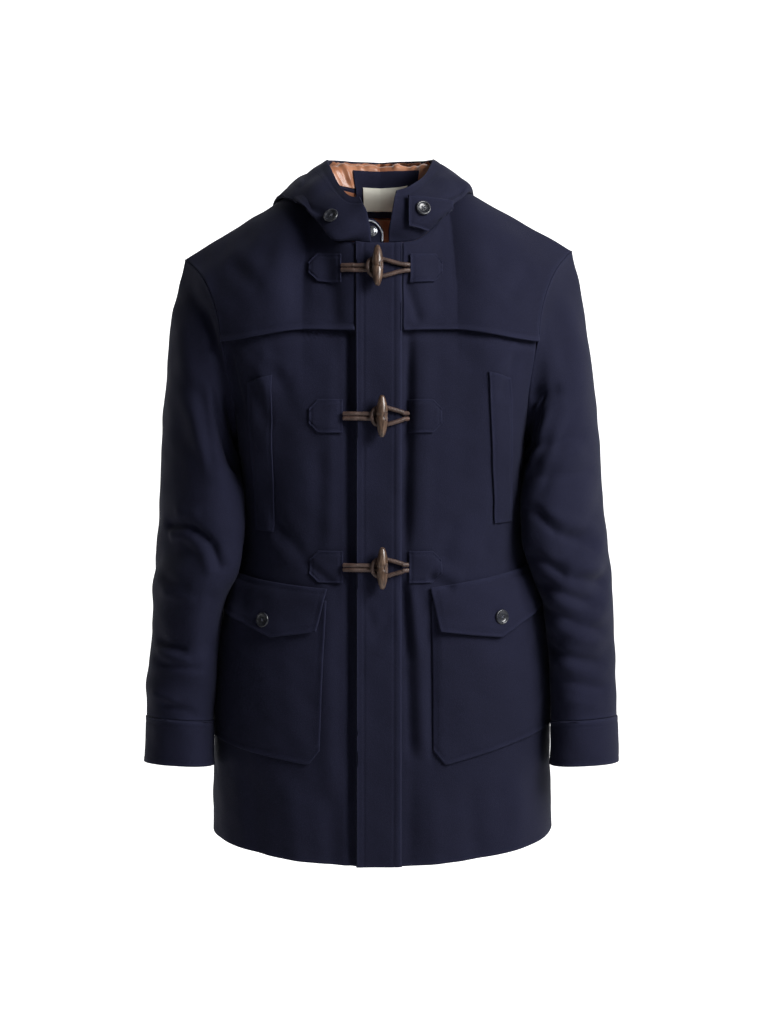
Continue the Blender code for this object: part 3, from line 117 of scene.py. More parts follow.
# inner x and z, outer x and z, middle y, half depth and tilt of the sleeve's sections
SLEEVE = {
    1: (
        (0.1810, -0.330, 0.2390, -0.090, 0.000, 0.093, 0.00),
        (0.1872, -0.336, 0.2500, -0.130, 0.000, 0.088, 0.00),
        (0.1816, -0.346, 0.2595, -0.190, -0.003, 0.084, 0.00),
        (0.1796, -0.364, 0.2675, -0.250, -0.007, 0.081, 0.02),
        (0.1769, -0.390, 0.2745, -0.311, -0.012, 0.078, 0.04),
        (0.1766, -0.420, 0.2783, -0.372, -0.018, 0.075, 0.06),
        (0.1782, -0.448, 0.2820, -0.430, -0.025, 0.073, 0.08),   # elbow
        (0.1888, -0.484, 0.2882, -0.474, -0.031, 0.070, 0.10),
        (0.2018, -0.520, 0.2905, -0.512, -0.036, 0.066, 0.12),
        (0.2092, -0.558, 0.2928, -0.552, -0.041, 0.062, 0.13),
        (0.2125, -0.596, 0.2942, -0.591, -0.046, 0.059, 0.13),
        (0.2142, -0.633, 0.2952, -0.630, -0.050, 0.056, 0.13),
        (0.2158, -0.671, 0.2958, -0.669, -0.054, 0.053, 0.13),   # top of the cuff
        (0.2152, -0.727, 0.2980, -0.727, -0.060, 0.051, 0.13),   # end of the cuff
    ),
    -1: (
        (0.1760, -0.330, 0.2430, -0.101, 0.000, 0.093, 0.00),
        (0.1834, -0.336, 0.2530, -0.138, 0.000, 0.088, 0.00),
        (0.1770, -0.346, 0.2630, -0.190, -0.003, 0.084, 0.00),
        (0.1742, -0.364, 0.2680, -0.250, -0.007, 0.081, 0.02),
        (0.1706, -0.390, 0.2735, -0.311, -0.012, 0.078, 0.04),
        (0.1690, -0.420, 0.2757, -0.372, -0.018, 0.075, 0.06),
        (0.1698, -0.448, 0.2780, -0.430, -0.025, 0.073, 0.08),
        (0.1784, -0.484, 0.2825, -0.474, -0.031, 0.070, 0.10),
        (0.1932, -0.520, 0.2835, -0.512, -0.036, 0.066, 0.12),
        (0.2008, -0.558, 0.2850, -0.552, -0.041, 0.062, 0.13),
        (0.2035, -0.596, 0.2875, -0.591, -0.046, 0.059, 0.13),
        (0.2068, -0.633, 0.2905, -0.630, -0.050, 0.056, 0.13),
        (0.2100, -0.671, 0.2912, -0.669, -0.054, 0.053, 0.13),
        (0.2100, -0.727, 0.2935, -0.727, -0.060, 0.051, 0.13),
    ),
}
CUFF_ROW = 12            # row of SLEEVE where the cuff begins
LAST_ROW = len(SLEEVE[1]) - 1
HEAD_ROWS = 3.0          # rows over which the sleeve head leaves the armhole's own curve
SLEEVE_SQUARENESS = 2.20
ROW_HEIGHT = 0.050       # mean distance between the rows of SLEEVE
MEAN_GIRTH = 0.42        # of a sleeve
INNER_AHEAD = 0.042      # the inner edge of a sleeve lies this much further forward
CUFF_PROUD = 0.0012
SLEEVE_EASE = 0.0020     # fullness added all round a sleeve below its head

# row, turn (0 outer, 0.25 front, 0.5 inner, 0.75 back), slant, half length, half width, rise
SLEEVE_FOLDS = {
    1: (
        (6.3, 0.22, 0.9, 0.16, 0.50, -0.0060),
        (7.2, 0.24, 1.0, 0.17, 0.55, 0.0055),
        (8.1, 0.20, 1.1, 0.15, 0.45, -0.0050),
        (8.9, 0.22, 0.9, 0.16, 0.50, 0.0045),
        (10.2, 0.20, 0.7, 0.15, 0.45, -0.0035),
        (7.0, 0.72, -0.8, 0.16, 0.60, -0.0050),
        (8.6, 0.70, -0.6, 0.15, 0.55, 0.0040),
    ),
    -1: (
        (6.7, 0.18, -0.5, 0.20, 0.50, -0.0065),
        (7.6, 0.20, -0.3, 0.20, 0.55, 0.0055),
        (9.6, 0.22, 0.1, 0.17, 0.35, -0.0045),
        (10.3, 0.22, 0.1, 0.17, 0.35, 0.0040),
        (11.2, 0.14, 0.2, 0.14, 0.40, 0.0040),
        (7.2, 0.72, 0.7, 0.16, 0.60, -0.0050),
        (9.0, 0.70, 0.5, 0.15, 0.55, 0.0040),
    ),
}

PLACKET_LEFT_X = -0.0285
PLACKET_RIGHT_X = 0.0265
YOKE_Z = -0.186          # lower edge of the yoke flaps, at the centre
YOKE_DROP = 0.014        # how much lower it is at the armholes
YOKE_BACK_Z = -0.190
YOKE_START = {1: 0.0275, -1: 0.0295}    # distance of a front yoke from the centre

TOGGLE_Z = (-0.1128, -0.2873, -0.4692)
TOGGLE_X = (-0.0020, 0.0026, 0.0030)
TOGGLE_OUT = 0.0160      # toggle axis in front of the front's surface
PATCH_HALF_HEIGHT = (0.0170, 0.0200, 0.0195)
PATCH_INNER_X = {1: 0.0345, -1: 0.0440}
PATCH_OUTER_X = {1: 0.0745, -1: 0.0850}
PATCH_CHAMFER = 0.011
PATCH_LIFT = 0.0011
CORD_RADIUS = 0.0026
CORD_OUT = 0.0064        # cord axis in front of the front's surface, over the placket
# x and z from the toggle's middle, distance in front of the front's surface
TOGGLE_CORD = (          # upper half of the hairpin behind a toggle, placket edge to the bend
    (-0.0255, 0.0027, 0.0063),
    (-0.0120, 0.0027, 0.0063),
    (-0.0020, 0.0027, 0.0063),
    (0.0000, 0.0026, 0.0063),
    (0.0014, 0.0000, 0.0063),
)
LOOP_CORD = (            # upper half of the loop round a toggle, placket edge to the bend
    (0.0235, 0.0048, 0.0066),
    (0.0120, 0.0082, 0.0064),
    (0.0020, 0.0106, 0.0064),
    (-0.0048, 0.0104, 0.0078),
    (-0.0099, 0.0068, 0.0104),
    (-0.0121, 0.0000, 0.0116),
)

WELT_LIFT = 0.0010
# inner x, outer x and z of a welt's lower and upper end
WELT = {
    1: ((0.1385, 0.1600, -0.4200), (0.1300, 0.1585, -0.2385)),
    -1: ((0.1290, 0.1500, -0.4300), (0.1300, 0.1600, -0.2430)),
}

# x at the inner top; x, z at the inner low end, at the corner and at the side
POCKET = {
    1: (0.0635, 0.0650, -0.692, 0.0790, -0.710, 0.206, -0.680),
    -1: (0.0650, 0.0730, -0.692, 0.0860, -0.710, 0.200, -0.695),
}
POCKET_TOP_Z = -0.510
POCKET_SIDE_SHARE = 0.955    # share of the front's width where a pocket ends
# x, z at the inner top, inner low end and point; then x, top z and low z at the side
FLAP = {
    1: (0.0606, -0.4944, 0.0716, -0.5470, 0.1440, -0.5575, 0.1960, -0.4760, -0.5250),
    -1: (0.0630, -0.4956, 0.0750, -0.5470, 0.1290, -0.5570, 0.1960, -0.4860, -0.5300),
}
FLAP_SIDE_SHARE = 0.960
FLAP_LIFT = 0.0034
FLAP_BUTTON = {1: (0.1440, -0.5335), -1: (0.1380, -0.5370)}
THROAT_BUTTON = (0.0580, -0.0495)
# x, z of the tab's corners
TAB = ((0.0335, -0.0610), (0.0760, -0.0665), (0.0865, -0.0320), (0.0325, -0.0265))
TAB_BUTTON = (0.0500, -0.0425)
TAB_STITCH_IN = 0.0045
TAB_LIFT = (0.0038, 0.0026)   # gap under the tab at its two ends

TONGUE_X = (-0.0220, -0.0150, -0.0080, -0.0010, 0.0040)
TONGUE_BEND_Z = (-0.090, -0.079, -0.052)    # seated on the front's inner face, bend, top
TONGUE_BEND_Y = (-0.1010, -0.0965)          # at the bend and at the top
TONGUE_TOP_Z = (-0.052, -0.051, -0.052, -0.057, -0.066)
SNAP_XZ = (-0.0096, -0.0670)
SNAP_SECTION = (         # radius, height in metres, from the back's middle round to the front's
    (0.0, 0.0), (0.0062, 0.0), (0.0066, 0.0005), (0.0064, 0.0010), (0.0056, 0.0011), (0.0052, 0.0016),
    (0.0046, 0.0024), (0.0034, 0.0030), (0.0018, 0.0032), (0.0, 0.0032),
)
PIPING_RADIUS = 0.0009

# first and last x, z and line of the hood's rings of the neck patch, its label and the lining under it
PATCH_X = (-0.0320, 0.0480)
PATCH_Z = (-0.0440, -0.0240)
PATCH_HOOD_LINES = (0.0, 0.62)
LABEL_X = (-0.0220, 0.0360)
LABEL_Z = (-0.0352, -0.0200)
LABEL_HOOD_LINES = (0.0, 0.16)
NECK_PATCH_IN = 0.0040   # face of the neck patch's underside inside the coat's outer surface
NECK_PATCH_STITCH_IN = 0.0030
NECK_LINING_IN = 0.0042
NECK_LINING_Z = (-0.100, -0.046)
NECK_LINING_X = (-0.060, 0.060)

HOOD_RINGS = ("neck", "stand", "fall", "bottom", "rear", "edge")
HOOD_STATIONS = ("throat", "throat_side", "neck_front", "neck_side", "shoulder", "nape_side", "rear", "nape")
LAST_STATION = len(HOOD_STATIONS) - 1
LAST_RING = len(HOOD_RINGS) - 1
HOOD = {                 # x, y, z at each station, for the wearer's left half
    "stand": (
        (0.0110, -0.109, -0.064), (0.0395, -0.107, -0.064), (0.0630, -0.093, -0.055),
        (0.0820, -0.060, -0.028), (0.0930, -0.014, -0.0040), (0.0880, 0.042, 0.008),
        (0.0540, 0.080, 0.016), (0.0000, 0.092, 0.014),
    ),
    "fall": (
        (0.0135, -0.109, -0.050), (0.0430, -0.107, -0.051), (0.0700, -0.094, -0.047),
        (0.0925, -0.061, -0.031), (0.1055, -0.010, -0.0150), (0.1080, 0.062, -0.015),
        (0.0800, 0.128, -0.062), (0.0000, 0.148, -0.085),
    ),
    "bottom": (
        (0.0155, -0.107, -0.038), (0.0445, -0.103, -0.039), (0.0720, -0.087, -0.036),
        (0.0960, -0.051, -0.021), (0.1150, 0.002, -0.011), (0.1190, 0.095, -0.056),
        (0.0950, 0.172, -0.168), (0.0000, 0.183, -0.235),
    ),
    "rear": (
        (0.0175, -0.103, -0.027), (0.0420, -0.093, -0.024), (0.0650, -0.070, -0.017),
        (0.0850, -0.034, -0.002), (0.1010, 0.012, 0.004), (0.1070, 0.100, -0.010),
        (0.0840, 0.178, -0.066), (0.0000, 0.203, -0.105),
    ),
    "edge": (
        (0.0200, -0.094, -0.0175), (0.0360, -0.080, -0.0115), (0.0510, -0.047, -0.001),
        (0.0610, -0.015, 0.014), (0.0660, 0.022, 0.0260), (0.0640, 0.072, 0.028),
        (0.0420, 0.126, 0.030), (0.0000, 0.147, 0.029),
    ),
}
# ring, station, half width in stations, and the shift in x, y, z
HOOD_RIGHT_SHIFTS = (    # how the wearer's right half differs: it lies lower and further out
    (1, 1.5, 0.9, 0.0030, -0.0090, -0.0160),
    (2, 1.5, 1.0, 0.0030, -0.0080, -0.0160),
    (3, 1.4, 1.2, 0.0030, -0.0050, -0.0120),
    (4, 0.8, 1.3, 0.0040, -0.0020, -0.0100),
    (5, 0.6, 1.3, 0.0050, 0.0000, -0.0100),
    (2, 4.3, 1.2, 0.0060, 0.0000, 0.0020),
    (3, 4.3, 1.2, 0.0170, 0.0040, -0.0150),
    (4, 4.3, 1.2, 0.0080, 0.0000, -0.0090),
)
HOOD_NECK_STATIONS = 4.55    # station where the shoulder seams meet the neck
THROAT_SHARE = 0.030         # share of a front's width where the hood begins


# ---------------------------------------------------------------- folds
# folds of the front (-1) and the back (1): x, z at both ends, half width, rise
CREASES = {
    -1: (
        (0.0355, -0.1918, 0.0306, -0.4487, 0.0061, -0.0080),
        (0.0550, -0.1918, 0.0489, -0.4487, 0.0122, 0.0026),
        (0.0306, -0.1266, 0.0464, -0.1761, 0.0061, -0.0042),
        (0.0464, -0.1134, 0.0635, -0.1713, 0.0098, 0.0020),
        (0.0282, -0.4859, 0.0355, -0.5792, 0.0055, -0.0075),
        (0.0342, -0.5792, 0.0379, -0.6984, 0.0061, -0.0046),
        (0.0379, -0.4921, 0.0489, -0.5917, 0.0085, 0.0050),
        (0.0489, -0.5917, 0.0525, -0.6984, 0.0085, 0.0040),
        (0.0623, -0.5169, 0.0647, -0.7047, 0.0055, -0.0034),
        (0.0586, -0.4809, 0.0879, -0.4970, 0.0055, -0.0044),
        (0.0684, -0.4698, 0.1000, -0.4859, 0.0073, 0.0026),
        (0.0379, -0.7173, 0.0355, -0.8315, 0.0098, -0.0030),
        (0.0635, -0.7363, 0.0684, -0.8417, 0.0134, 0.0026),
        (-0.0608, -0.5045, -0.0559, -0.7806, 0.0134, 0.0032),
        (-0.0705, -0.3196, -0.0754, -0.4487, 0.0110, -0.0024),
        (-0.0571, -0.2100, -0.0584, -0.4426, 0.0110, 0.0022),
        (-0.1278, -0.4154, -0.0949, -0.4524, 0.0061, -0.0036),
        (-0.1363, -0.4327, -0.1071, -0.4673, 0.0073, 0.0024),
        (-0.0974, -0.4574, -0.0535, -0.4921, 0.0061, -0.0030),
        (-0.1034, -0.0834, -0.0986, -0.1737, 0.0134, -0.0026),
        (-0.1193, -0.2100, -0.1266, -0.3932, 0.0171, -0.0028),
        (-0.1583, -0.2282, -0.1363, -0.3013, 0.0085, -0.0036),
        (-0.1851, -0.2076, -0.1668, -0.2891, 0.0061, -0.0036),
        (-0.1437, -0.2124, -0.1095, -0.2367, 0.0073, 0.0024),
        (-0.1363, -0.2040, -0.0974, -0.2952, 0.0110, -0.0024),
        (-0.1705, -0.2100, -0.1315, -0.2647, 0.0098, 0.0026),
        (-0.1437, -0.3564, -0.1193, -0.4426, 0.0085, -0.0026),
        (-0.1705, -0.3687, -0.1729, -0.5667, 0.0085, 0.0044),
        (0.1658, -0.2124, 0.1463, -0.2684, 0.0085, -0.0034),
        (0.1634, -0.2040, 0.1293, -0.2525, 0.0098, 0.0026),
        (0.1463, -0.3932, 0.1244, -0.4623, 0.0085, -0.0030),
        (0.1768, -0.3687, 0.1792, -0.5667, 0.0085, 0.0040),
        (0.1524, -0.3908, 0.1195, -0.4623, 0.0098, 0.0024),
        (0.1074, -0.2040, 0.1000, -0.3687, 0.0171, -0.0022),
        (0.0915, -0.4117, 0.0732, -0.4673, 0.0110, -0.0026),
        (-0.1558, -0.7299, -0.1510, -0.8315, 0.0146, -0.0034),
        (-0.1095, -0.7363, -0.0974, -0.8417, 0.0159, 0.0028),
        (-0.0608, -0.7426, -0.0584, -0.8417, 0.0110, -0.0026),
        (0.1098, -0.7363, 0.1195, -0.8340, 0.0146, -0.0032),
        (0.1646, -0.7236, 0.1707, -0.8251, 0.0146, 0.0028),
        (-0.0169, -0.5169, -0.0072, -0.5393, 0.0061, -0.0016),
        (0.0147, -0.5293, -0.0096, -0.5567, 0.0061, -0.0015),
        (-0.0182, -0.5917, 0.0147, -0.5667, 0.0073, 0.0014),
        (-0.0974, -0.0295, -0.1437, -0.1038, 0.0146, -0.0030),
        (0.0952, -0.0474, 0.1463, -0.1110, 0.0146, -0.0026),
        (-0.0608, -0.0954, -0.0511, -0.1797, 0.0098, -0.0026),
        (-0.1826, -0.1038, -0.1437, -0.1375, 0.0110, -0.0024),
        (0.1829, -0.1134, 0.1524, -0.1495, 0.0110, -0.0024),
    ),
    1: (
        (0.0000, -0.300, 0.0040, -0.800, 0.0220, -0.0060),
        (0.0700, -0.420, 0.0820, -0.810, 0.0240, 0.0054),
        (-0.0680, -0.440, -0.0760, -0.810, 0.0240, 0.0048),
        (0.1300, -0.430, 0.1180, -0.800, 0.0180, -0.0051),
        (-0.1340, -0.420, -0.1250, -0.800, 0.0180, -0.0048),
        (0.1480, -0.235, 0.1840, -0.275, 0.0110, -0.0066),
        (-0.1500, -0.240, -0.1850, -0.280, 0.0110, -0.0063),
        (0.0600, -0.225, 0.0900, -0.330, 0.0200, -0.0033),
        (-0.0600, -0.225, -0.0860, -0.330, 0.0200, -0.0033),
        (0.0450, -0.430, -0.0300, -0.462, 0.0110, -0.0039),
        (-0.0300, -0.470, 0.0600, -0.500, 0.0120, 0.0030),
    ),
}
# folds of the sleeves as they cross the fronts: x, z at both ends, half width, rise
SLEEVE_FRONTS = {
    -1: (
        (-0.2641, -0.4264, -0.2323, -0.4227, 0.0049, -0.0060),
        (-0.2323, -0.4227, -0.2066, -0.4413, 0.0051, -0.0075),
        (-0.2066, -0.4413, -0.1907, -0.4760, 0.0061, -0.0070),
        (-0.2592, -0.4375, -0.2323, -0.4351, 0.0073, 0.0038),
        (-0.2323, -0.4363, -0.2152, -0.4537, 0.0079, 0.0046),
        (-0.2152, -0.4537, -0.2042, -0.4810, 0.0073, 0.0036),
        (-0.2506, -0.4091, -0.2201, -0.4091, 0.0085, 0.0024),
        (-0.2714, -0.4872, -0.2323, -0.4972, 0.0073, -0.0028),
        (-0.2690, -0.5059, -0.2250, -0.5146, 0.0073, 0.0022),
        (-0.2763, -0.5684, -0.2372, -0.5759, 0.0049, -0.0036),
        (-0.2763, -0.5809, -0.2323, -0.5884, 0.0049, 0.0030),
        (-0.2751, -0.5947, -0.2164, -0.5985, 0.0055, -0.0042),
        (-0.2690, -0.6437, -0.2250, -0.6551, 0.0055, -0.0030),
        (-0.2812, -0.6311, -0.2470, -0.6400, 0.0061, 0.0024),
        (-0.2372, -0.1314, -0.2103, -0.1860, 0.0098, -0.0034),
        (-0.2152, -0.1557, -0.1883, -0.2371, 0.0085, -0.0060),
        (-0.1883, -0.2371, -0.1760, -0.3081, 0.0067, -0.0046),
        (-0.2592, -0.1496, -0.2250, -0.2530, 0.0134, 0.0030),
        (-0.2201, -0.2591, -0.2029, -0.3572, 0.0079, -0.0038),
        (-0.1724, -0.3634, -0.1748, -0.5684, 0.0085, 0.0040),
        (-0.2250, -0.2713, -0.2054, -0.3942, 0.0110, 0.0026),
        (-0.2029, -0.5059, -0.2127, -0.5809, 0.0085, -0.0036),
        (-0.2543, -0.2958, -0.2470, -0.3819, 0.0146, -0.0022),
    ),
    1: (
        (0.1836, -0.2689, 0.2203, -0.2567, 0.0073, -0.0050),
        (0.1885, -0.2836, 0.2276, -0.2738, 0.0085, 0.0024),
        (0.1836, -0.3277, 0.2496, -0.3154, 0.0073, -0.0040),
        (0.1885, -0.3449, 0.2521, -0.3326, 0.0098, 0.0026),
        (0.1885, -0.3646, 0.2643, -0.3572, 0.0073, -0.0030),
        (0.1848, -0.4017, 0.2203, -0.4338, 0.0067, -0.0065),
        (0.2203, -0.4338, 0.2692, -0.4512, 0.0067, -0.0050),
        (0.2019, -0.4091, 0.2692, -0.4314, 0.0085, 0.0034),
        (0.1836, -0.4586, 0.2301, -0.4835, 0.0067, -0.0060),
        (0.2301, -0.4835, 0.2790, -0.4984, 0.0067, -0.0044),
        (0.2203, -0.4636, 0.2765, -0.4810, 0.0073, 0.0030),
        (0.1934, -0.4934, 0.2692, -0.5234, 0.0067, -0.0044),
        (0.2056, -0.5084, 0.2741, -0.5383, 0.0073, 0.0028),
        (0.1983, -0.5259, 0.2765, -0.5559, 0.0067, -0.0044),
        (0.2032, -0.5458, 0.2741, -0.5709, 0.0079, 0.0026),
        (0.1934, -0.5734, 0.2765, -0.5960, 0.0067, -0.0038),
        (0.2154, -0.5934, 0.2765, -0.6110, 0.0073, 0.0024),
        (0.2203, -0.6135, 0.2790, -0.6261, 0.0061, -0.0030),
        (0.2203, -0.6362, 0.2717, -0.6463, 0.0073, 0.0020),
        (0.2154, -0.1496, 0.2325, -0.2469, 0.0134, -0.0030),
        (0.2350, -0.1617, 0.2472, -0.2713, 0.0146, 0.0024),
        (0.1799, -0.3634, 0.1824, -0.5684, 0.0085, 0.0040),
    ),
}
# folds round the sleeves: turn and row at both ends, half width, rise
SLEEVE_CREASES = {
    -1: (
        (0.30, 1.60, 0.42, 3.00, 0.0120, -0.0056),
        (0.16, 3.20, 0.30, 4.60, 0.0200, -0.0031),
        (0.60, 5.90, 0.80, 6.50, 0.0090, -0.0062),
        (0.58, 6.60, 0.82, 7.20, 0.0090, 0.0056),
        (0.62, 7.50, 0.84, 8.00, 0.0090, -0.0053),
        (0.60, 8.80, 0.86, 9.30, 0.0080, 0.0042),
        (0.62, 9.90, 0.84, 10.30, 0.0080, -0.0039),
        (0.60, 1.70, 0.70, 3.10, 0.0120, -0.0059),
    ),
    1: (
        (0.34, 1.40, 0.47, 2.40, 0.0100, -0.0084),
        (0.30, 2.00, 0.42, 3.30, 0.0110, 0.0056),
        (0.20, 2.80, 0.34, 4.40, 0.0160, -0.0034),
        (0.60, 5.60, 0.82, 6.20, 0.0090, -0.0064),
        (0.58, 6.30, 0.80, 6.90, 0.0090, 0.0056),
        (0.60, 7.20, 0.84, 7.90, 0.0090, -0.0056),
        (0.62, 8.60, 0.86, 9.10, 0.0080, 0.0042),
        (0.60, 9.60, 0.82, 10.10, 0.0080, -0.0042),
        (0.60, 1.60, 0.72, 3.00, 0.0120, -0.0062),
    ),
}
WAVE_SPAN = 2.2          # metres over which WAVES counts its waves
WAVES = (                # faint unevenness of soft cloth: waves along x, y, z, phase, rise
    (31.0, 12.0, 22.0, 0.4, 0.00030),
    (-17.0, 25.0, 38.0, 1.9, 0.00028),
    (54.0, -31.0, 13.0, 3.1, 0.00018),
    (-43.0, 18.0, -61.0, 5.0, 0.00014),
)


def waviness(points):
    """Height of the cloth's faint unevenness."""
    height = np.zeros(points.shape[:-1])
    for by_x, by_y, by_z, phase, rise in WAVES:
        turn = points[..., 0] * by_x + points[..., 1] * by_y + points[..., 2] * by_z
        height = height + rise * np.sin(turn * 2 * np.pi / WAVE_SPAN + phase)
    return height


def along_line(x, z, x0, z0, x1, z1, half_width):
    """Share of a crease's rise at places (x, z): 1 on its line, falling off to the sides and ends."""
    way_x, way_z = x1 - x0, z1 - z0
    length = np.hypot(way_x, way_z)
    t = ((x - x0) * way_x + (z - z0) * way_z) / length**2
    off = np.abs((x - x0) * way_z - (z - z0) * way_x) / length
    ends = smooth(-0.12, 0.18, t) * (1 - smooth(0.82, 1.12, t))
    return np.exp(-((off / half_width) ** 2)) * ends


def add_creases(height, table, x, z, share=1.0):
    """The height with a share of the creases of a table added at places (x, z)."""
    for *ends, half_width, rise in table:
        height = height + share * rise * along_line(x, z, *ends, half_width)
    return height


def body_rise(face, points):
    """Height of the body's folds over its plain surface."""
    height = add_creases(waviness(points), CREASES[face], points[..., 0], points[..., 2])
    at_neck = smooth(-0.13, -0.06, points[..., 2]) * (1 - smooth(0.08, 0.16, np.abs(points[..., 0])))
    return height * (1 - at_neck)


# the fronts sink under the placket's and the yokes' loose edges: columns as in CREASES
TUCKS = (
    (-0.0370, -0.1038, -0.0346, -0.8468, 0.0051, -0.0065),
    (-0.0474, -0.1918, -0.0486, -0.8468, 0.0134, -0.0024),
    (-0.1875, -0.2027, -0.1437, -0.1949, 0.0041, -0.0032),
    (-0.1437, -0.1949, -0.0949, -0.1894, 0.0041, -0.0032),
    (-0.0949, -0.1894, -0.0267, -0.1882, 0.0041, -0.0032),
    (0.0221, -0.1894, 0.0952, -0.1888, 0.0041, -0.0032),
    (0.0952, -0.1888, 0.1463, -0.1943, 0.0041, -0.0032),
    (0.1463, -0.1943, 0.1902, -0.2027, 0.0041, -0.0032),
)


def tucked(points):
    """Height, mostly below zero, of the fronts beside the pieces laid on them."""
    height = add_creases(np.zeros(points.shape[:-1]), TUCKS, points[..., 0], points[..., 2])
    return height * (1 - smooth(-0.180, -0.140, points[..., 2]))


def arrays(*values):
    """The values as float arrays of one shape."""
    return np.broadcast_arrays(*(np.asarray(value, float) for value in values))


def skin(side, face, u, v, out):
    """Points of the folded body surface at the distance out."""
    u, v, out = arrays(u, v, out)
    points, normals = panel_spot(side, face, u, v)
    calm = smooth(0.0, 0.03, 2.0 - v) * (1 - 0.999 * smooth(0.985, 1.0, np.abs(u)))
    return points + normals * (out + body_rise(face, points) * calm)[..., None]


def sleeve_rise(side, turn, row, points):
    """Height of the sleeve's folds; the distance across a fold is measured on the sleeve in metres."""
    data = spline(SLEEVE[side], row)
    girth = np.pi * (np.abs(data[..., 2] - data[..., 0]) / 2 + data[..., 5])
    height = waviness(points)
    for turn0, row0, turn1, row1, half_width, rise in SLEEVE_CREASES[side]:
        height = height + rise * along_line(
            (turn - turn0) * girth, (row - row0) * ROW_HEIGHT,
            0.0, 0.0, (turn1 - turn0) * MEAN_GIRTH, (row1 - row0) * ROW_HEIGHT, half_width,
        )
    ahead = smooth(-0.02, 0.06, turn) * (1 - smooth(0.44, 0.52, turn)) * smooth(0.1, 1.0, row)
    return add_creases(height, SLEEVE_FRONTS[side], points[..., 0], points[..., 2], ahead)


# ---------------------------------------------------------------- meshes
def grid_normals(points, closed=False):
    """Unit normals of a grid of points, along the first two axes."""
    if closed:
        du = np.roll(points, -1, axis=0) - np.roll(points, 1, axis=0)
    else:
        du = np.gradient(points, axis=0)
    dv = np.gradient(points, axis=1)
    normal = np.cross(du, dv)
    return normal / np.maximum(np.linalg.norm(normal, axis=-1, keepdims=True), 1e-12)


def link_object(name, data):
    """New object of the scene for a mesh, a lamp's light or a camera."""
    made = bpy.data.objects.new(name, data)
    bpy.context.scene.collection.objects.link(made)
    return made


def add_object(name, vertices, faces, materials, face_materials=None, worn=None):
    mesh = bpy.data.meshes.new(name)
    mesh.from_pydata([tuple(p) for p in np.asarray(vertices, float)], [], [tuple(f) for f in faces])
    if worn is not None:
        mesh.attributes.new("worn", "FLOAT", "POINT").data.foreach_set("value", np.asarray(worn, "f"))
    for item in materials:
        mesh.materials.append(item)
    if face_materials is not None:
        mesh.polygons.foreach_set("material_index", np.asarray(face_materials, "i"))
    work = bmesh.new()
    work.from_mesh(mesh)
    bmesh.ops.recalc_face_normals(work, faces=work.faces)
    if work.calc_volume(signed=True) < 0:
        bmesh.ops.reverse_faces(work, faces=work.faces)
    work.to_mesh(mesh)
    work.free()
    mesh.shade_smooth()
    return link_object(name, mesh)


def unit(vectors):
    return vectors / np.maximum(np.linalg.norm(vectors, axis=-1, keepdims=True), 1e-12)


def boundary(nu, nv):
    """Indices (i, j) once round the edge of an open grid, and of the neighbours one step in."""
    path = [(i, 0) for i in range(nu)] + [(nu - 1, j) for j in range(1, nv)]
    path += [(i, nv - 1) for i in range(nu - 2, -1, -1)] + [(0, j) for j in range(nv - 2, 0, -1)]
    inner = [(min(max(i, 1), nu - 2), min(max(j, 1), nv - 2)) for i, j in path]
    return path, inner


RIM_TURNS = (0.25, 0.5, 0.75)     # shares of the half circle where a rounded edge has its points
WORN_WIDTH = 0.003                # beside an edge of the cloth


def shell(name, outer, inner, outside, inside, closed=False):
    """Sheet of cloth between two grids of points, with rounded edges.

    outside and inside are materials; a closed sheet runs round along its first axis.
    """
    outer = outer.copy()
    inner = inner.copy()
    nu, nv = outer.shape[:2]
    if closed:
        ring = range(nu)
        loops = [([(i, j) for i in ring], [(i, k) for i in ring]) for j, k in ((0, 1), (nv - 1, nv - 2))]
    else:
        loops = [boundary(nu, nv)]
    rims = []
    for path, neighbours in loops:
        a = tuple(np.array(path).T)
        b = tuple(np.array(neighbours).T)
        half = (outer[a] - inner[a]) / 2
        middle = (outer[a] + inner[a]) / 2
        way = middle - (outer[b] + inner[b]) / 2
        way = unit(way - unit(half) * (way * unit(half)).sum(-1, keepdims=True))
        radius = np.linalg.norm(half, axis=-1, keepdims=True)
        outer[a] -= way * radius
        inner[a] -= way * radius
        middle = middle - way * radius
        rims.append([middle + half * np.cos(t * np.pi) + way * radius * np.sin(t * np.pi) for t in RIM_TURNS])

    vertices = [outer.reshape(-1, 3), inner.reshape(-1, 3)]
    base = nu * nv
    faces = []
    kinds = []
    columns = nu if closed else nu - 1
    for i in range(columns):
        for j in range(nv - 1):
            k = (i + 1) % nu
            quad = (i * nv + j, k * nv + j, k * nv + j + 1, i * nv + j + 1)
            faces += [quad, tuple(base + q for q in quad[::-1])]
            kinds += [0, 1]
    start = 2 * base
    for (path, _), rings in zip(loops, rims):
        count = len(path)
        ids = [np.array([i * nv + j for i, j in path])]
        for ring in rings:
            vertices.append(ring)
            ids.append(start + np.arange(count))
            start += count
        ids.append(ids[0] + base)
        for low, high in zip(ids, ids[1:]):
            for m in range(count):
                n = (m + 1) % count
                faces.append((low[m], low[n], high[n], high[m]))
                kinds.append(0)
    vertices = np.concatenate(vertices)
    worn = np.zeros(len(vertices))
    worn[2 * base:] = 1.0
    reach = edge_distance(outer, closed)
    worn[:base] = np.exp(-((reach / WORN_WIDTH) ** 2)).reshape(-1)
    return add_object(name, vertices, faces, [outside, inside], kinds, worn)


def arcs(grid, axis):
    """Distance along a grid's lines from their start, and their whole length."""
    steps = np.linalg.norm(np.diff(grid, axis=axis), axis=-1)
    pad = [(1, 0) if k == axis else (0, 0) for k in (0, 1)]
    reach = np.pad(np.cumsum(steps, axis=axis), pad)
    return reach, np.take(reach, [-1], axis=axis)


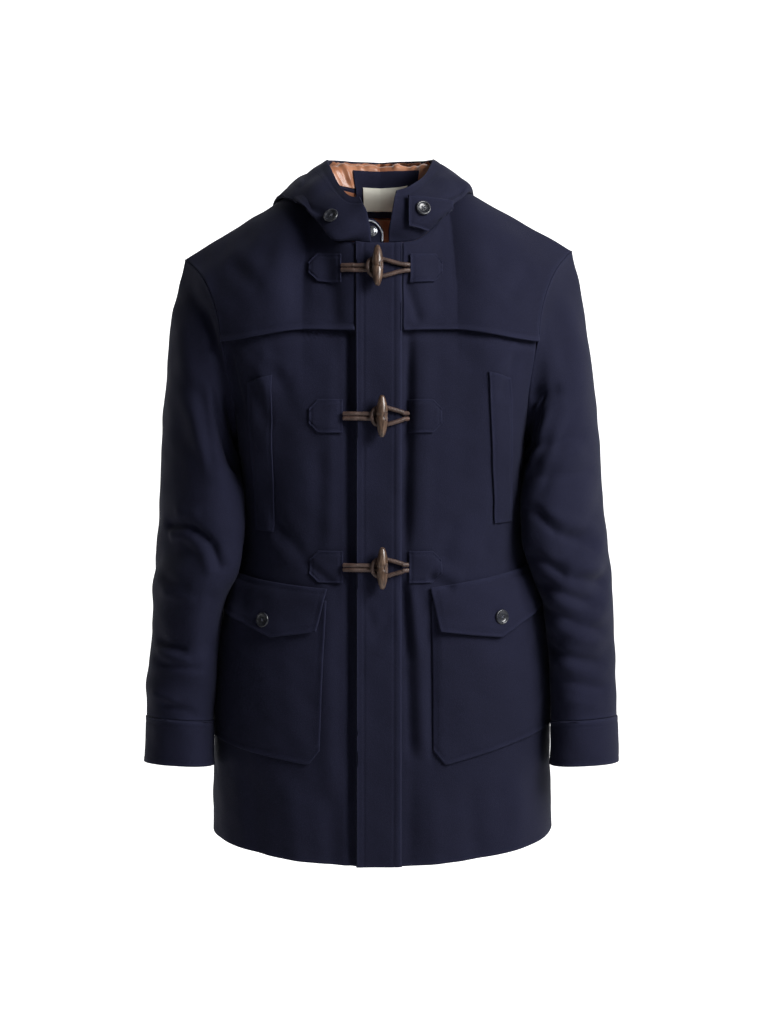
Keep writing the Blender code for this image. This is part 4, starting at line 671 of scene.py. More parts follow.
def edge_distance(grid, closed=False):
    """Distance of each grid point from the nearest edge."""
    along, whole = arcs(grid, 1)
    near = np.minimum(along, whole - along)
    if not closed:
        across, width = arcs(grid, 0)
        near = np.minimum(near, np.minimum(across, width - across))
    return near


def cut_size(grid, closed=False):
    """Mean width and length of a sheet laid flat, and its area."""
    across = arcs(grid, 0)[1].mean()
    if closed:
        across += np.linalg.norm(grid[0] - grid[-1], axis=-1).mean()
    width, length = float(across), float(arcs(grid, 1)[1].mean())
    rows = np.concatenate([grid, grid[:1]]) if closed else grid
    a, b, c, d = rows[:-1, :-1], rows[1:, :-1], rows[1:, 1:], rows[:-1, 1:]
    area = 0.5 * np.linalg.norm(np.cross(c - a, d - b), axis=-1).sum()
    longest = float(arcs(grid, 0)[1].max()), float(arcs(grid, 1)[1].max())
    width, length = max(width, longest[0]), max(length, longest[1])
    return (width, length), float(np.clip(area, 0.31 * width * length, width * length))


def declare(piece, grid, nodes, slot, held="stretched", rests_on=(), closed=False):
    """The piece stands for its nodes and rides on the part; its size laid flat is worked out from its grid
    but not kept.
    """
    finish(piece, nodes, slot)
    flat, area = cut_size(grid, closed)


def sheet(node, outer, inner, outside, inside=None, kind="cloth", slot="wool", closed=False, **how):
    """Sheet of cloth between two grids that stands for one node."""
    piece = shell(f"{node}_{kind}", outer, inner, outside, inside or outside, closed)
    declare(piece, outer, [node], slot, closed=closed, **how)


def finish(piece, nodes, slot):
    if nodes:
        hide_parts(*nodes)
    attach(piece, "root")


def groove(distance, at, half_width, depth):
    """Trough of a row of stitches that runs at a distance from an edge."""
    return -depth * np.exp(-(((distance - at) / half_width) ** 2))


def at_share(grid, s, t):
    """Points of a grid at shares (s, t) of its axes, straight between its lines."""
    i = np.clip(np.asarray(s, float), 0, 1) * (grid.shape[0] - 1)
    j = np.clip(np.asarray(t, float), 0, 1) * (grid.shape[1] - 1)
    i0 = np.minimum(np.floor(i).astype(int), grid.shape[0] - 2)
    j0 = np.minimum(np.floor(j).astype(int), grid.shape[1] - 2)
    fi, fj = (i - i0)[..., None], (j - j0)[..., None]
    low = grid[i0, j0] * (1 - fi) + grid[i0 + 1, j0] * fi
    high = grid[i0, j0 + 1] * (1 - fi) + grid[i0 + 1, j0 + 1] * fi
    return low * (1 - fj) + high * fj


def lengths(line):
    """Distance of each point of a line from its start, along the line."""
    return np.concatenate([[0], np.cumsum(np.linalg.norm(np.diff(line, axis=0), axis=1))])


def inset_line(grid, edge, inset, trim, count):
    """Polyline at a distance inside one edge of a grid: u0, u1, v0 or v1.  trim shortens its ends."""
    axis = 0 if edge[0] == "u" else 1
    whole = arcs(grid, axis)[1]
    whole = whole[0, :] if axis == 0 else whole[:, 0]
    along = np.linspace(0, 1, count)
    width = np.interp(along, np.linspace(0, 1, len(whole)), whole)
    share = inset / width if edge[1] == "0" else 1 - inset / width
    line = at_share(grid, share, along) if axis == 0 else at_share(grid, along, share)
    reach = lengths(line)
    keep = np.linspace(trim[0], reach[-1] - trim[1], count)
    return np.stack([np.interp(keep, reach, line[:, k]) for k in range(3)], axis=-1)


STITCH_PITCH = 0.0034
STITCH_LENGTH = 0.0024
STITCH_RADIUS = 0.00026
STITCH_ENDS = np.array([-0.5, -0.3, 0.3, 0.5])    # ends and shoulders of a stitch, as shares of its length


def stitch_rows(name, rows, material):
    """Rows of sewn stitches: rows are pairs of a polyline and its outward direction at each point."""
    vertices = []
    faces = []
    for line, normals in rows:
        reach = lengths(line)
        for m in range(int(reach[-1] / STITCH_PITCH)):
            ends = (m + 0.5) * STITCH_PITCH + STITCH_ENDS * STITCH_LENGTH
            points = np.stack([np.interp(ends, reach, line[:, k]) for k in range(3)], axis=-1)
            out = unit(np.array([np.interp(ends[1], reach, normals[:, k]) for k in range(3)]))
            up = out * STITCH_RADIUS
            across = np.cross(unit(points[3] - points[0]), up)
            base = len(vertices)
            vertices.append(points[0] - up)
            for p in (points[1], points[2]):
                vertices += [p + across, p + up, p - across, p - up]
            vertices.append(points[3] - up)
            for q in range(4):
                r = (q + 1) % 4
                faces.append((base, base + 1 + r, base + 1 + q))
                faces.append((base + 1 + q, base + 1 + r, base + 5 + r, base + 5 + q))
                faces.append((base + 9, base + 5 + q, base + 5 + r))
    finish(add_object(name, vertices, faces, [material]), (), "wool")


def near_values(line, grid, values):
    """Values of a grid at the grid points nearest to each point of a line."""
    flat = grid.reshape(-1, 3)
    pick = [int(np.argmin(((flat - p) ** 2).sum(1))) for p in line]
    return values.reshape(-1, 3)[pick]


def sew_edges(node, grid, normals, thread, edges, count=160):
    """Rows of stitches inside the edges of a piece, each given as (edge, inset, trim of both ends)."""
    rows = []
    for edge, inset, trim in edges:
        line = inset_line(grid, edge, inset, trim, count)
        rows.append((line, near_values(line, grid, normals)))
    stitch_rows(node + "_stitches", rows, thread)


# ---------------------------------------------------------------- curves and surfaces
def catmull(a, b, c, d, f):
    """Point at share f between b and c of a smooth curve through four points."""
    return 0.5 * (2 * b + (c - a) * f + (2 * a - 5 * b + 4 * c - d) * f**2 + (3 * b - a - 3 * c + d) * f**3)


def spline(rows, t):
    """Smooth curve through the rows; t counts rows from 0."""
    rows = np.asarray(rows, float)
    t = np.asarray(t, float)
    ends = np.vstack([2 * rows[0] - rows[1], rows, 2 * rows[-1] - rows[-2]])
    i = np.clip(np.floor(t).astype(int), 0, len(rows) - 2)
    return catmull(ends[i], ends[i + 1], ends[i + 2], ends[i + 3], (t - i)[..., None])


def smooth(low, high, value):
    """0 below low, 1 above high, with a soft start and end."""
    t = np.clip((value - low) / (high - low), 0.0, 1.0)
    return t * t * (3 - 2 * t)


def hermite(start, end, start_slope, end_slope, q):
    q = q[..., None]
    return (
        (2 * q**3 - 3 * q**2 + 1) * start
        + (q**3 - 2 * q**2 + q) * start_slope
        + (3 * q**2 - 2 * q**3) * end
        + (q**3 - q**2) * end_slope
    )


def body_section(side, face, u, z):
    """Point at share u of the way from the centre to the side seam, on the section at height z."""
    sizes = spline(BODY, (CHEST_Z - z) / BODY_STEP)
    half_width = sizes[..., 1 if side > 0 else 0]
    depth = sizes[..., 2 if face < 0 else 3]
    angle = u * np.pi / 2
    sine = np.sin(angle)
    cosine = np.clip(np.cos(angle), 0.0, 1.0)
    power = sizes[..., 4]
    radius = ((sine / half_width) ** power + (cosine / depth) ** power) ** (-1 / power)
    return np.stack([side * radius * sine, face * radius * cosine, z], axis=-1)


def armhole(side, face, q):
    """Armhole edge of a panel, q 0 at the underarm and 1 at the shoulder tip."""
    rows = np.array(ARMHOLE_FRONT if face < 0 else ARMHOLE_BACK)
    tip = np.array(SHOULDER_TIP[side])
    dense = np.linspace(0, len(rows) - 1, 240)
    heights = spline(rows, dense)[:, 2]
    climb = rows[-1][2] - rows[0][2]
    height = rows[0][2] + climb * (3 * q**2 - 2 * q**3 + ARMHOLE_START * (q**3 - 2 * q**2 + q))
    point = spline(rows, np.interp(height, heights, dense))
    underarm = spline(BODY, 0.0)[1 if side > 0 else 0]
    point[..., 0] += (tip[0] - rows[-1][0]) * q**2 + (underarm - rows[0][0]) * (1 - q) ** 2
    point[..., 2] += (tip[2] - rows[-1][2]) * q
    point[..., 0] *= side
    return point


def top_edge(side, face, u):
    """Neckline and shoulder seam of a panel."""
    rows = NECK_FRONT if face < 0 else NECK_BACK
    share = NECK_SHARE_FRONT if face < 0 else NECK_SHARE_BACK
    neck = spline(rows, np.clip(u / share, 0, 1) * (len(rows) - 1))
    start = np.array(rows[-1])
    along = np.clip((u - share) / (1 - share), 0, 1)[..., None]
    shoulder = start + (np.array(SHOULDER_TIP[side]) - start) * along
    point = np.where((u <= share)[..., None], neck, shoulder)
    return point * np.array([side, 1.0, 1.0])


def panel(side, face, u, v):
    """Body surface.  u: 0 centre to 1 side; v: 0 hem, 1 underarm level, 2 neckline and shoulder."""
    u, v = arrays(u, v)
    across = np.where(u < 0, -1.0, 1.0)
    u = np.abs(u)
    hem_mid = HEM_FRONT_Z if face < 0 else HEM_BACK_Z
    hem = HEM_SIDE_Z + (hem_mid - HEM_SIDE_Z) * np.cos(u * np.pi / 2) ** 2
    low_z = hem + (CHEST_Z - hem) * np.minimum(v, 1.0)
    low = body_section(side, face, u, low_z)
    q = np.clip(v - 1.0, 0.0, 1.0)

    def from_chest(u, q):
        level = np.full(u.shape, CHEST_Z)
        start = body_section(side, face, u, level)
        end = top_edge(side, face, u)
        rise = (start - body_section(side, face, u, level - SLOPE_STEP)) / SLOPE_STEP
        reach = np.linalg.norm(end - start, axis=-1)[..., None]
        blend = smooth(0.12, 0.50, u)[..., None]
        neck_way = np.array([0.0, -face * NECK_WAY[0], NECK_WAY[1]]) * NECK_PULL
        shoulder_way = np.array([0.0, -face * 1.0, 0.0]) * SHOULDER_PULL
        finish = (neck_way * (1 - blend) + shoulder_way * blend) * reach
        return hermite(start, end, rise * reach, finish, q)

    edge = armhole(side, face, q)
    reach = np.arctan2(np.abs(edge[..., 0]), np.abs(edge[..., 1])) / (np.pi / 2)
    high = from_chest(u * reach, q)
    high = high + (edge - from_chest(reach, q)) * (u**ARMHOLE_REACH)[..., None]
    point = np.where((v > 1.0)[..., None], high, low)
    point[..., 0] *= across
    return point


def v_where(side, face, u, height_of):
    """Row v where a panel's column u reaches the height that a rule gives for its distance x."""
    u = np.asarray(u, float)
    low = np.zeros(u.shape)
    high = np.full(u.shape, 2.0)
    for _ in range(32):
        mid = (low + high) / 2
        point = panel(side, face, u, mid)
        below = point[..., 2] < height_of(np.abs(point[..., 0]))
        low = np.where(below, mid, low)
        high = np.where(below, high, mid)
    return low


def yoke_row(side, face, u):
    """Row v where the yoke's lower edge crosses column u."""
    if face > 0:
        return v_where(side, face, u, lambda x: YOKE_BACK_Z)
    return v_where(side, face, u, lambda x: YOKE_Z - YOKE_DROP * smooth(0.09, 0.20, x))


def row_of(side, face, u, line):
    """Row v of a grid line; line YOKE_LINE follows the yoke's lower edge, the rest share the space."""
    crossing = yoke_row(side, face, u)
    below = 1 + (line - 1) / (YOKE_LINE - 1) * (crossing - 1)
    above = crossing + (line - YOKE_LINE) / (2 - YOKE_LINE) * (2 - crossing)
    line = np.asarray(line, float)
    return np.where(line <= 1, line, np.where(line <= YOKE_LINE, below, above))


def sleeve(side, turn, row):
    """Sleeve surface.  turn: 0 outer, 0.25 front, 0.5 inner, 0.75 back; row counts rows of SLEEVE."""
    turn, row = arrays(turn, row)
    data = spline(SLEEVE[side], row)
    ahead = INNER_AHEAD * smooth(0.5, 4.0, row) * (1 - 0.6 * smooth(7.0, 12.0, row))
    inner = np.stack([data[..., 0], data[..., 4] - ahead, data[..., 1]], axis=-1)
    outer = np.stack([data[..., 2], data[..., 4] + ahead / 3, data[..., 3]], axis=-1)
    first = np.array(SLEEVE[side][0])
    power = 2 / (2 + (SLEEVE_SQUARENESS - 2) * smooth(0.0, HEAD_ROWS, row))
    angle = turn * 2 * np.pi
    cosine = np.sign(np.cos(angle)) * np.abs(np.cos(angle)) ** power
    sine = np.sign(np.sin(angle)) * np.abs(np.sin(angle)) ** power
    ease = (SLEEVE_EASE * smooth(0.0, 1.5, row))[..., None]
    half = (outer - inner) / 2
    half = half + half / np.linalg.norm(half, axis=-1, keepdims=True) * ease
    forward = np.stack([np.zeros(row.shape), -data[..., 5], data[..., 6] * data[..., 5]], axis=-1)
    forward = forward + forward / np.linalg.norm(forward, axis=-1, keepdims=True) * ease
    point = (inner + outer) / 2 + half * cosine[..., None] + forward * sine[..., None]

    first_inner = np.array([first[0], first[4], first[1]])
    first_outer = np.array([first[2], first[4], first[3]])
    start = (first_inner + first_outer) / 2 + (first_outer - first_inner) / 2 * np.cos(angle)[..., None]
    start = start + np.array([0.0, -first[5], 0.0]) * np.sin(angle)[..., None]
    line = 1 + np.abs(1 - 2 * turn)
    q_front = row_of(side, -1, 1.0, line) - 1
    q_back = row_of(side, 1, 1.0, line) - 1
    hole = np.where((turn <= 0.5)[..., None], armhole(side, -1, q_front), armhole(side, 1, q_back))
    hole = hole * np.array([side, 1.0, 1.0])
    fade = 1 - smooth(0.0, HEAD_ROWS, row)
    point = point + (hole - start) * fade[..., None]

    outward = np.stack([cosine * 0.8, -sine, np.zeros(row.shape)], axis=-1)
    for fold_row, fold_turn, slant, half_length, half_width, rise in SLEEVE_FOLDS[side]:
        around = turn - fold_turn
        across = (row - fold_row - slant * around * 6) / half_width
        height = rise * np.exp(-(across**2)) * np.exp(-((around / half_length) ** 2))
        point = point + outward * height[..., None]
    return point * np.array([side, 1.0, 1.0])


def neck_shares(station):
    """Shares of a front's and of the back's width at which a station meets the neckline."""
    front = THROAT_SHARE + (NECK_SHARE_FRONT - THROAT_SHARE) * np.clip(station / HOOD_NECK_STATIONS, 0, 1)
    back = NECK_SHARE_BACK * np.clip((LAST_STATION - station) / (LAST_STATION - HOOD_NECK_STATIONS), 0, 1)
    return front, back, (station <= HOOD_NECK_STATIONS)[..., None]


def neck_seam(side, station):
    """Seam between hood and body; station counts HOOD_STATIONS, 0 at the throat."""
    front_u, back_u, in_front = neck_shares(station)
    return np.where(in_front, top_edge(side, -1, front_u), top_edge(side, 1, back_u))


def hood(side, station, line):
    """Outer face of a hood half.  line counts HOOD_RINGS from the neck seam to the face edge."""
    station, line = arrays(station, line)
    rings = [neck_seam(side, station) * np.array([side, 1.0, 1.0])]
    for name in HOOD_RINGS[1:]:
        rings.append(spline(HOOD[name], station))
    rings = np.stack(rings, axis=0)
    if side < 0:
        for ring, centre, half_width, *shift in HOOD_RIGHT_SHIFTS:
            share = np.exp(-(((station - centre) / half_width) ** 2))
            rings[ring] += share[..., None] * np.array(shift)
    first = 2 * rings[0] - rings[1]
    last = 2 * rings[-1] - rings[-2]
    ends = np.concatenate([first[None], rings, last[None]])
    i = np.clip(np.floor(line).astype(int), 0, LAST_RING - 1)
    pick = [np.take_along_axis(ends, (i + k)[None, ..., None], axis=0)[0] for k in range(4)]
    return catmull(*pick, (line - i)[..., None]) * np.array([side, 1.0, 1.0])


def spot(surface, outward, u, v, u_end=1.0, v_end=2.0):
    """Points and outward normals of a surface at arrays of places."""
    step = 1e-3
    du = surface(np.minimum(u + step, u_end), v) - surface(u - step, v)
    dv = surface(u, np.minimum(v + step, v_end)) - surface(u, np.maximum(v - step, 0.0))
    normal = np.cross(du, dv)
    normal = outward * normal / np.linalg.norm(normal, axis=-1, keepdims=True)
    return surface(u, v), normal


def panel_spot(side, face, u, v):
    """Points and outward normals of a body panel."""
    return spot(lambda a, b: panel(side, face, a, b), -1 if side * face > 0 else 1, u, v)


def u_at(side, face, x, v):
    """Share u where a panel's row v has the distance x from the centre plane."""
    x, v = arrays(x, v)
    low = np.zeros(x.shape)
    high = np.ones(x.shape)
    for _ in range(40):
        mid = (low + high) / 2
        inside = np.abs(panel(side, face, mid, v)[..., 0]) < x
        low = np.where(inside, mid, low)
        high = np.where(inside, high, mid)
    return low


def find(surface, x, z, start):
    """Places on a surface whose points have the given x and z."""
    x, z = arrays(x, z)
    a = np.full(x.shape, float(start[0]))
    b = np.full(x.shape, float(start[1]))
    step = 1e-4
    for _ in range(40):
        here = surface(a, b)
        by_a = (surface(a + step, b) - here) / step
        by_b = (surface(a, b + step) - here) / step
        miss_x = x - here[..., 0]
        miss_z = z - here[..., 2]
        whole = by_a[..., 0] * by_b[..., 2] - by_b[..., 0] * by_a[..., 2]
        da = (miss_x * by_b[..., 2] - by_b[..., 0] * miss_z) / whole
        db = (by_a[..., 0] * miss_z - miss_x * by_a[..., 2]) / whole
        a = a + np.clip(da, -0.15, 0.15)
        b = b + np.clip(db, -0.15, 0.15)
    return a, b


def place(side, face, x, z):
    """Shares (u, v) of the point of a panel at distance x from the centre plane and height z."""
    x = np.maximum(np.asarray(x, float), 1e-4)
    start_v = 1.5 if np.min(z) > CHEST_Z else 0.6
    return find(lambda a, b: panel(side, face, a, b) * np.array([side, 1.0, 1.0]), x, z, (0.3, start_v))


# ---------------------------------------------------------------- body pieces
EDGE_IN = 0.00003        # sewn edges all but touch


def pulled_in(points, edges):
    """Moves edge columns or rows of a grid in by the seam gap: u0, u1, v0, v1."""
    result = points.copy()
    for edge in edges:
        axis, last = (0 if edge[0] == "u" else 1), edge[1] == "1"
        here = [slice(None)] * 2
        near = [slice(None)] * 2
        here[axis], near[axis] = (-1, -2) if last else (0, 1)
        result[tuple(here)] += EDGE_IN * unit(points[tuple(near)] - points[tuple(here)])
    return result


HEM_ROWS = np.concatenate([np.linspace(0, 0.06, 9), np.linspace(0.075, 1, 75)])    # hem to underarm
PANEL_ROWS = np.concatenate([HEM_ROWS, np.linspace(1, 2, 63)[1:]])
FRONT_COLUMNS = 84
BACK_COLUMNS = 151
HEM_STITCH = (0.024, 0.0016, 0.0005)    # trough of the hem: distance from the edge, half width, depth


def hem_relief(grid_low):
    """Turned-up hem: a shallow trough where it is caught down, a little above the edge."""
    return groove(arcs(grid_low, 1)[0], *HEM_STITCH)


def front_grid(side):
    """Shares and rows of a front: the wearer's right one reaches past the centre as the underlap."""
    start = u_at(side, -1, UNDERLAP_X + 2 * EDGE_IN if side > 0 else UNDERLAP_X, PANEL_ROWS)
    start = start if side > 0 else -start
    share = np.linspace(0, 1, FRONT_COLUMNS)[:, None]
    return start[None, :] * (1 - share) + share, np.repeat(PANEL_ROWS[None, :], FRONT_COLUMNS, axis=0)


def build_fronts(cloth, lining):
    for side in (1, -1):
        u, v = front_grid(side)
        flat = skin(side, -1, u, v, 0.0)
        sunk = tucked(flat)
        outer = pulled_in(skin(side, -1, u, v, hem_relief(flat) + sunk), ("u1", "v1"))
        inner = pulled_in(skin(side, -1, u, v, sunk - CLOTH), ("u1", "v1"))
        sheet(f"front_{NAMES[side]}", outer, inner, cloth, lining)


def build_back(cloth, lining):
    shares = np.linspace(-1, 1, BACK_COLUMNS)
    outer, inner = (
        np.array([skin(1 if u >= 0 else -1, 1, abs(u), PANEL_ROWS, out) for u in shares])
        for out in (0.0, -CLOTH)
    )
    outer = outer + grid_out(outer, 1) * hem_relief(outer)[..., None]
    seams = ("u0", "u1", "v1")
    piece = shell("back_cloth", pulled_in(outer, seams), pulled_in(inner, seams), cloth, lining)
    declare(piece, outer, ["back"], "wool")


def grid_out(grid, sign):
    """Normals of a grid, pointed away from the coat's middle axis by the sign of their y."""
    normals = grid_normals(grid)
    flip = np.sign((normals[..., 1] * sign).sum())
    return normals * flip


def sleeve_points(side, turn, row, out):
    """Points of the folded sleeve at the distance out."""
    points = sleeve(side, turn, row)
    step = 1e-3
    du = sleeve(side, turn + step, row) - sleeve(side, turn - step, row)
    dv = sleeve(side, turn, np.minimum(row + step, LAST_ROW)) - sleeve(side, turn, np.maximum(row - step, 0))
    normals = side * unit(np.cross(du, dv))
    rise = sleeve_rise(side, turn, row, points) * smooth(0.0, 0.5, row)
    return points + normals * (out + rise)[..., None]


HEAD_LIFT = 0.0030       # height of the sleeve's edge beside a yoke
SLEEVE_TURNS = np.arange(112) / 112
SLEEVE_ROWS = np.concatenate([np.linspace(0, 0.5, 6), np.linspace(0.6, CUFF_ROW, 150)])
CUFF_ROWS = np.linspace(CUFF_ROW + 0.006, LAST_ROW, 34)
CUFF_STITCHES = (0.0075, 0.0080)     # distance of the two rows from the cuff's top and end


def sleeve_head(side, turn):
    """Outward direction of the body panels round the armhole, which the sleeve's edge takes over."""
    line = 1 + np.abs(1 - 2 * turn)
    front = panel_spot(side, -1, np.ones(len(turn)), row_of(side, -1, 1.0, line))[1]
    rear = panel_spot(side, 1, np.ones(len(turn)), row_of(side, 1, 1.0, line))[1]
    return np.where((turn <= 0.5)[:, None], front, rear)


def build_sleeve(side, cloth):
    turn, row = np.meshgrid(SLEEVE_TURNS, SLEEVE_ROWS, indexing="ij")
    outer = sleeve_points(side, turn, row, 0.0)
    inner = sleeve_points(side, turn, row, -CLOTH)
    head = sleeve_head(side, SLEEVE_TURNS)
    fall = (1 - smooth(0.0, 0.75, row)) * smooth(-0.225, -0.185, outer[..., 2])
    outer = outer + head[:, None] * (HEAD_LIFT * fall)[..., None]
    inner[:, 0] = outer[:, 0] - head * CLOTH
    inner[:, 1] = (outer[:, 1] - head * CLOTH) * 0.5 + inner[:, 1] * 0.5
    outer, inner = pulled_in(outer, ("v0", "v1")), pulled_in(inner, ("v0",))
    sheet(f"sleeve_{NAMES[side]}", outer, inner, cloth, closed=True)


def at_arc(line, values, at):
    """Values of a line at a distance from its start."""
    reach = lengths(line)
    return np.stack([np.interp(at, reach, values[:, k]) for k in range(3)], axis=-1)


def build_cuff(side, cloth, thread):
    """Turned-up doubled band with a row of stitches near its top and its end."""
    turn, row = np.meshgrid(SLEEVE_TURNS, CUFF_ROWS, indexing="ij")
    reach, whole = arcs(sleeve_points(side, turn, row, 0.0), 1)
    top, end = CUFF_STITCHES
    relief = groove(reach, top, 0.0012, 0.0005) + groove(whole - reach, end, 0.0012, 0.0004)
    outer = sleeve_points(side, turn, row, CUFF_PROUD + relief)
    inner = sleeve_points(side, turn, row, CUFF_PROUD - BAND)
    node = f"cuff_{NAMES[side]}"
    sheet(node, outer, inner, cloth, closed=True)
    normals = side * grid_normals(outer, True)
    around = list(range(len(SLEEVE_TURNS))) + [0]
    rows = []
    for at in (top, float(whole.mean()) - end):
        ring = np.array([at_arc(outer[i], outer[i], at) for i in around])
        rows.append((ring, np.array([at_arc(outer[i], normals[i], at) for i in around])))
    stitch_rows(node + "_stitches", rows, thread)


def build_sleeves(cloth, thread):
    for side in (1, -1):
        build_sleeve(side, cloth)
        build_cuff(side, cloth, thread)


def yoke_grid(side, face, columns, rows, start_x=0.0):
    """Places of a yoke half, from its lower edge to just under the hood and the shoulder seam."""
    u = np.linspace(0, 1, columns)
    low = yoke_row(side, face, np.maximum(u, 0.001))
    share = np.linspace(0, 1, rows)[None, :]
    v = low[:, None] * (1 - share) + 2.0 * share
    us = np.repeat(u[:, None], rows, axis=1)
    if start_x:
        first = u_at(side, face, start_x, v[0])
        us = first[None, :] + (1 - first[None, :]) * us
        low = yoke_row(side, face, us[:, 0])
        v = low[:, None] * (1 - share) + 2.0 * share
    return us, v


YOKE_EDGE_LIFT = 0.0030  # a yoke's loose lower edge stands this much further out
YOKE_ROLL = 0.0060       # length over which it does
YOKE_FRONT_GRID = (90, 56)    # columns and rows of a yoke half
YOKE_BACK_GRID = (84, 50)
YOKE_SEAM_STOP = 0.0030  # a yoke ends this far below the neck and shoulder seams
YOKE_STITCH_IN = 0.0085
YOKE_STITCHES = [("v0", YOKE_STITCH_IN, (0.002, 0.002))]


def yoke_out(v, flat):
    """Distances of a yoke's outer and inner face from the body: a raised, rolled lower edge."""
    reach = arcs(flat, 1)[0]
    roll = YOKE_EDGE_LIFT * np.exp(-((reach / YOKE_ROLL) ** 2))
    roll = roll + groove(reach, YOKE_STITCH_IN, 0.0018, 0.0009)
    near_seam = smooth(0.0, 0.05, 2.0 - v)
    outer = (YOKE_LIFT + CLOTH) * (0.35 + 0.65 * near_seam) + roll
    return outer, YOKE_LIFT * near_seam + 0.0001 + roll * 0.75


def yoke_faces(side, face, columns, rows, start_x=0.0):
    """Outer and inner grid of a yoke half."""
    us, v = yoke_grid(side, face, columns, rows, start_x)
    whole = arcs(skin(side, face, us, v, 0.0), 1)[1]
    v = v[:, :1] + (v - v[:, :1]) * (1 - YOKE_SEAM_STOP / whole)
    high, low = yoke_out(v, skin(side, face, us, v, 0.0))
    return skin(side, face, us, v, high), skin(side, face, us, v, low)


def build_yokes(cloth, thread):
    """Shoulder layers, sewn in at the neck, shoulders and armholes and loose at their lower edge."""
    for side in (1, -1):
        faces = yoke_faces(side, -1, *YOKE_FRONT_GRID, YOKE_START[side])
        outer, inner = (pulled_in(grid, ("u1",)) for grid in faces)
        node = f"yoke_front_{NAMES[side]}"
        sheet(node, outer, inner, cloth, rests_on=[f"front_{NAMES[side]}_cloth"])
        sew_edges(node, outer, grid_out(outer, -1), thread, YOKE_STITCHES)
    left, right = (yoke_faces(side, 1, *YOKE_BACK_GRID) for side in (1, -1))
    outer, inner = (pulled_in(np.concatenate([b[:0:-1], a]), ("u0", "u1")) for a, b in zip(left, right))
    sheet("yoke_back", outer, inner, cloth, rests_on=["back_cloth"])
    sew_edges("yoke_back", outer, grid_out(outer, 1), thread, YOKE_STITCHES, 300)


OVERLAY_FULLNESS = 0.0004    # pieces sewn onto a front are this much thicker than their cloth


def overlay(node, side, u, v, lift, thick, cloth, thread, edges, inset, rows=None, rests_on=None):
    """Sewn-on piece on a front: rounded edges, and a row of stitches inside the named edges."""
    flat = skin(side, -1, u, v, 0.0)
    across, width = arcs(flat, 0)
    along, whole = arcs(flat, 1)
    reach = {"u0": across, "u1": width - across, "v0": along, "v1": whole - along}
    relief = sum(groove(reach[edge], inset, 0.0014, 0.00085) for edge in edges)
    outer = skin(side, -1, u, v, lift + thick + relief + OVERLAY_FULLNESS)
    inner = skin(side, -1, u, v, lift)
    sheet(node, outer, inner, cloth, rests_on=rests_on or [f"front_{NAMES[side]}_cloth"])
    sewn = [(edge, inset, (inset, inset)) for edge in rows or edges]
    sew_edges(node, outer, grid_out(outer, -1), thread, sewn)


ALL_EDGES = ("u0", "u1", "v0", "v1")
PLACKET_STITCH_IN = 0.0095
PLACKET_ROLL = 0.0005        # fullness of the placket's edges
PLACKET_EDGE_LIFT = 0.0016   # its free edge, on the wearer's right, stands this much further out
PLACKET_EDGE_WIDTH = 0.012   # width over which the edges are fuller and lifted
PLACKET_TOP = 2.0 - 0.004    # row of the fronts where the placket ends, just under the neckline


def build_placket(cloth, thread):
    """Doubled band down the centre, laid over both fronts."""
    rows = np.concatenate([HEM_ROWS, np.linspace(1, PLACKET_TOP, 62)[1:]])
    outer = []
    inner = []
    for x in np.linspace(PLACKET_LEFT_X, PLACKET_RIGHT_X, 41):
        side = -1 if x < 0 else 1
        u = u_at(side, -1, abs(x), rows)
        bare = skin(side, -1, u, rows, 0.0)
        edge = min(x - PLACKET_LEFT_X, PLACKET_RIGHT_X - x)
        relief = groove(edge, PLACKET_STITCH_IN, 0.0014, 0.0008)
        relief = relief + PLACKET_ROLL * np.exp(-((edge / PLACKET_EDGE_WIDTH) ** 2))
        relief = relief + hem_relief(bare[None])[0] * 0.6
        free = np.exp(-(((x - PLACKET_LEFT_X) / PLACKET_EDGE_WIDTH) ** 2))
        lift = LIFT + 0.0004 + PLACKET_EDGE_LIFT * free
        outer.append(skin(side, -1, u, rows, lift + BAND + relief))
        inner.append(skin(side, -1, u, rows, lift))
    outer = np.array(outer)
    sheet("placket", outer, np.array(inner), cloth, rests_on=["front_left_cloth", "front_right_cloth"])
    edges = [(edge, PLACKET_STITCH_IN, (0.003, 0.003)) for edge in ("u0", "u1")]
    sew_edges("placket", outer, grid_out(outer, -1), thread, edges, 500)


PATCH_STITCH_IN = 0.0035
WELT_STITCH_IN = 0.0030
WELT_COLUMNS = 18
WELT_ROWS = 70
POCKET_STITCH_IN = 0.0065
FLAP_STITCH_IN = 0.0060
OVER_YOKE = 0.0012       # the top patches clear the yokes' folds by this much
POCKET_PUFF = 0.0016     # fullness in the middle of a pocket
FLAP_SEAM_DIP = 0.0030   # a flap lies this much lower towards its sewn upper edge
FLAP_EDGE_LIFT = 0.0042  # and its loose lower edge stands this much further out


def build_patches(cloth, thread):
    """The six patches that hold the cords, with two corners cut off."""
    up = np.linspace(-1, 1, 26)
    for k in range(3):
        under = YOKE_LIFT + CLOTH + OVER_YOKE if k == 0 else 0.0
        carrier = "yoke_front" if k == 0 else "front"
        for side in (1, -1):
            near, far = PATCH_INNER_X[side], PATCH_OUTER_X[side]
            corner = far - PATCH_CHAMFER
            across = np.concatenate([np.linspace(near, corner, 22), np.linspace(corner, far, 8)[1:]])
            half = PATCH_HALF_HEIGHT[k] - np.maximum(across - corner, 0)
            u, v = place(side, -1, across[:, None], TOGGLE_Z[k] + half[:, None] * up[None, :])
            node = f"toggle_patch_{NAMES[side]}_{k + 1}"
            overlay(node, side, u, v, under + LIFT, PATCH_CLOTH, cloth, thread, ALL_EDGES, PATCH_STITCH_IN,
                    rests_on=[f"{carrier}_{NAMES[side]}_cloth"])


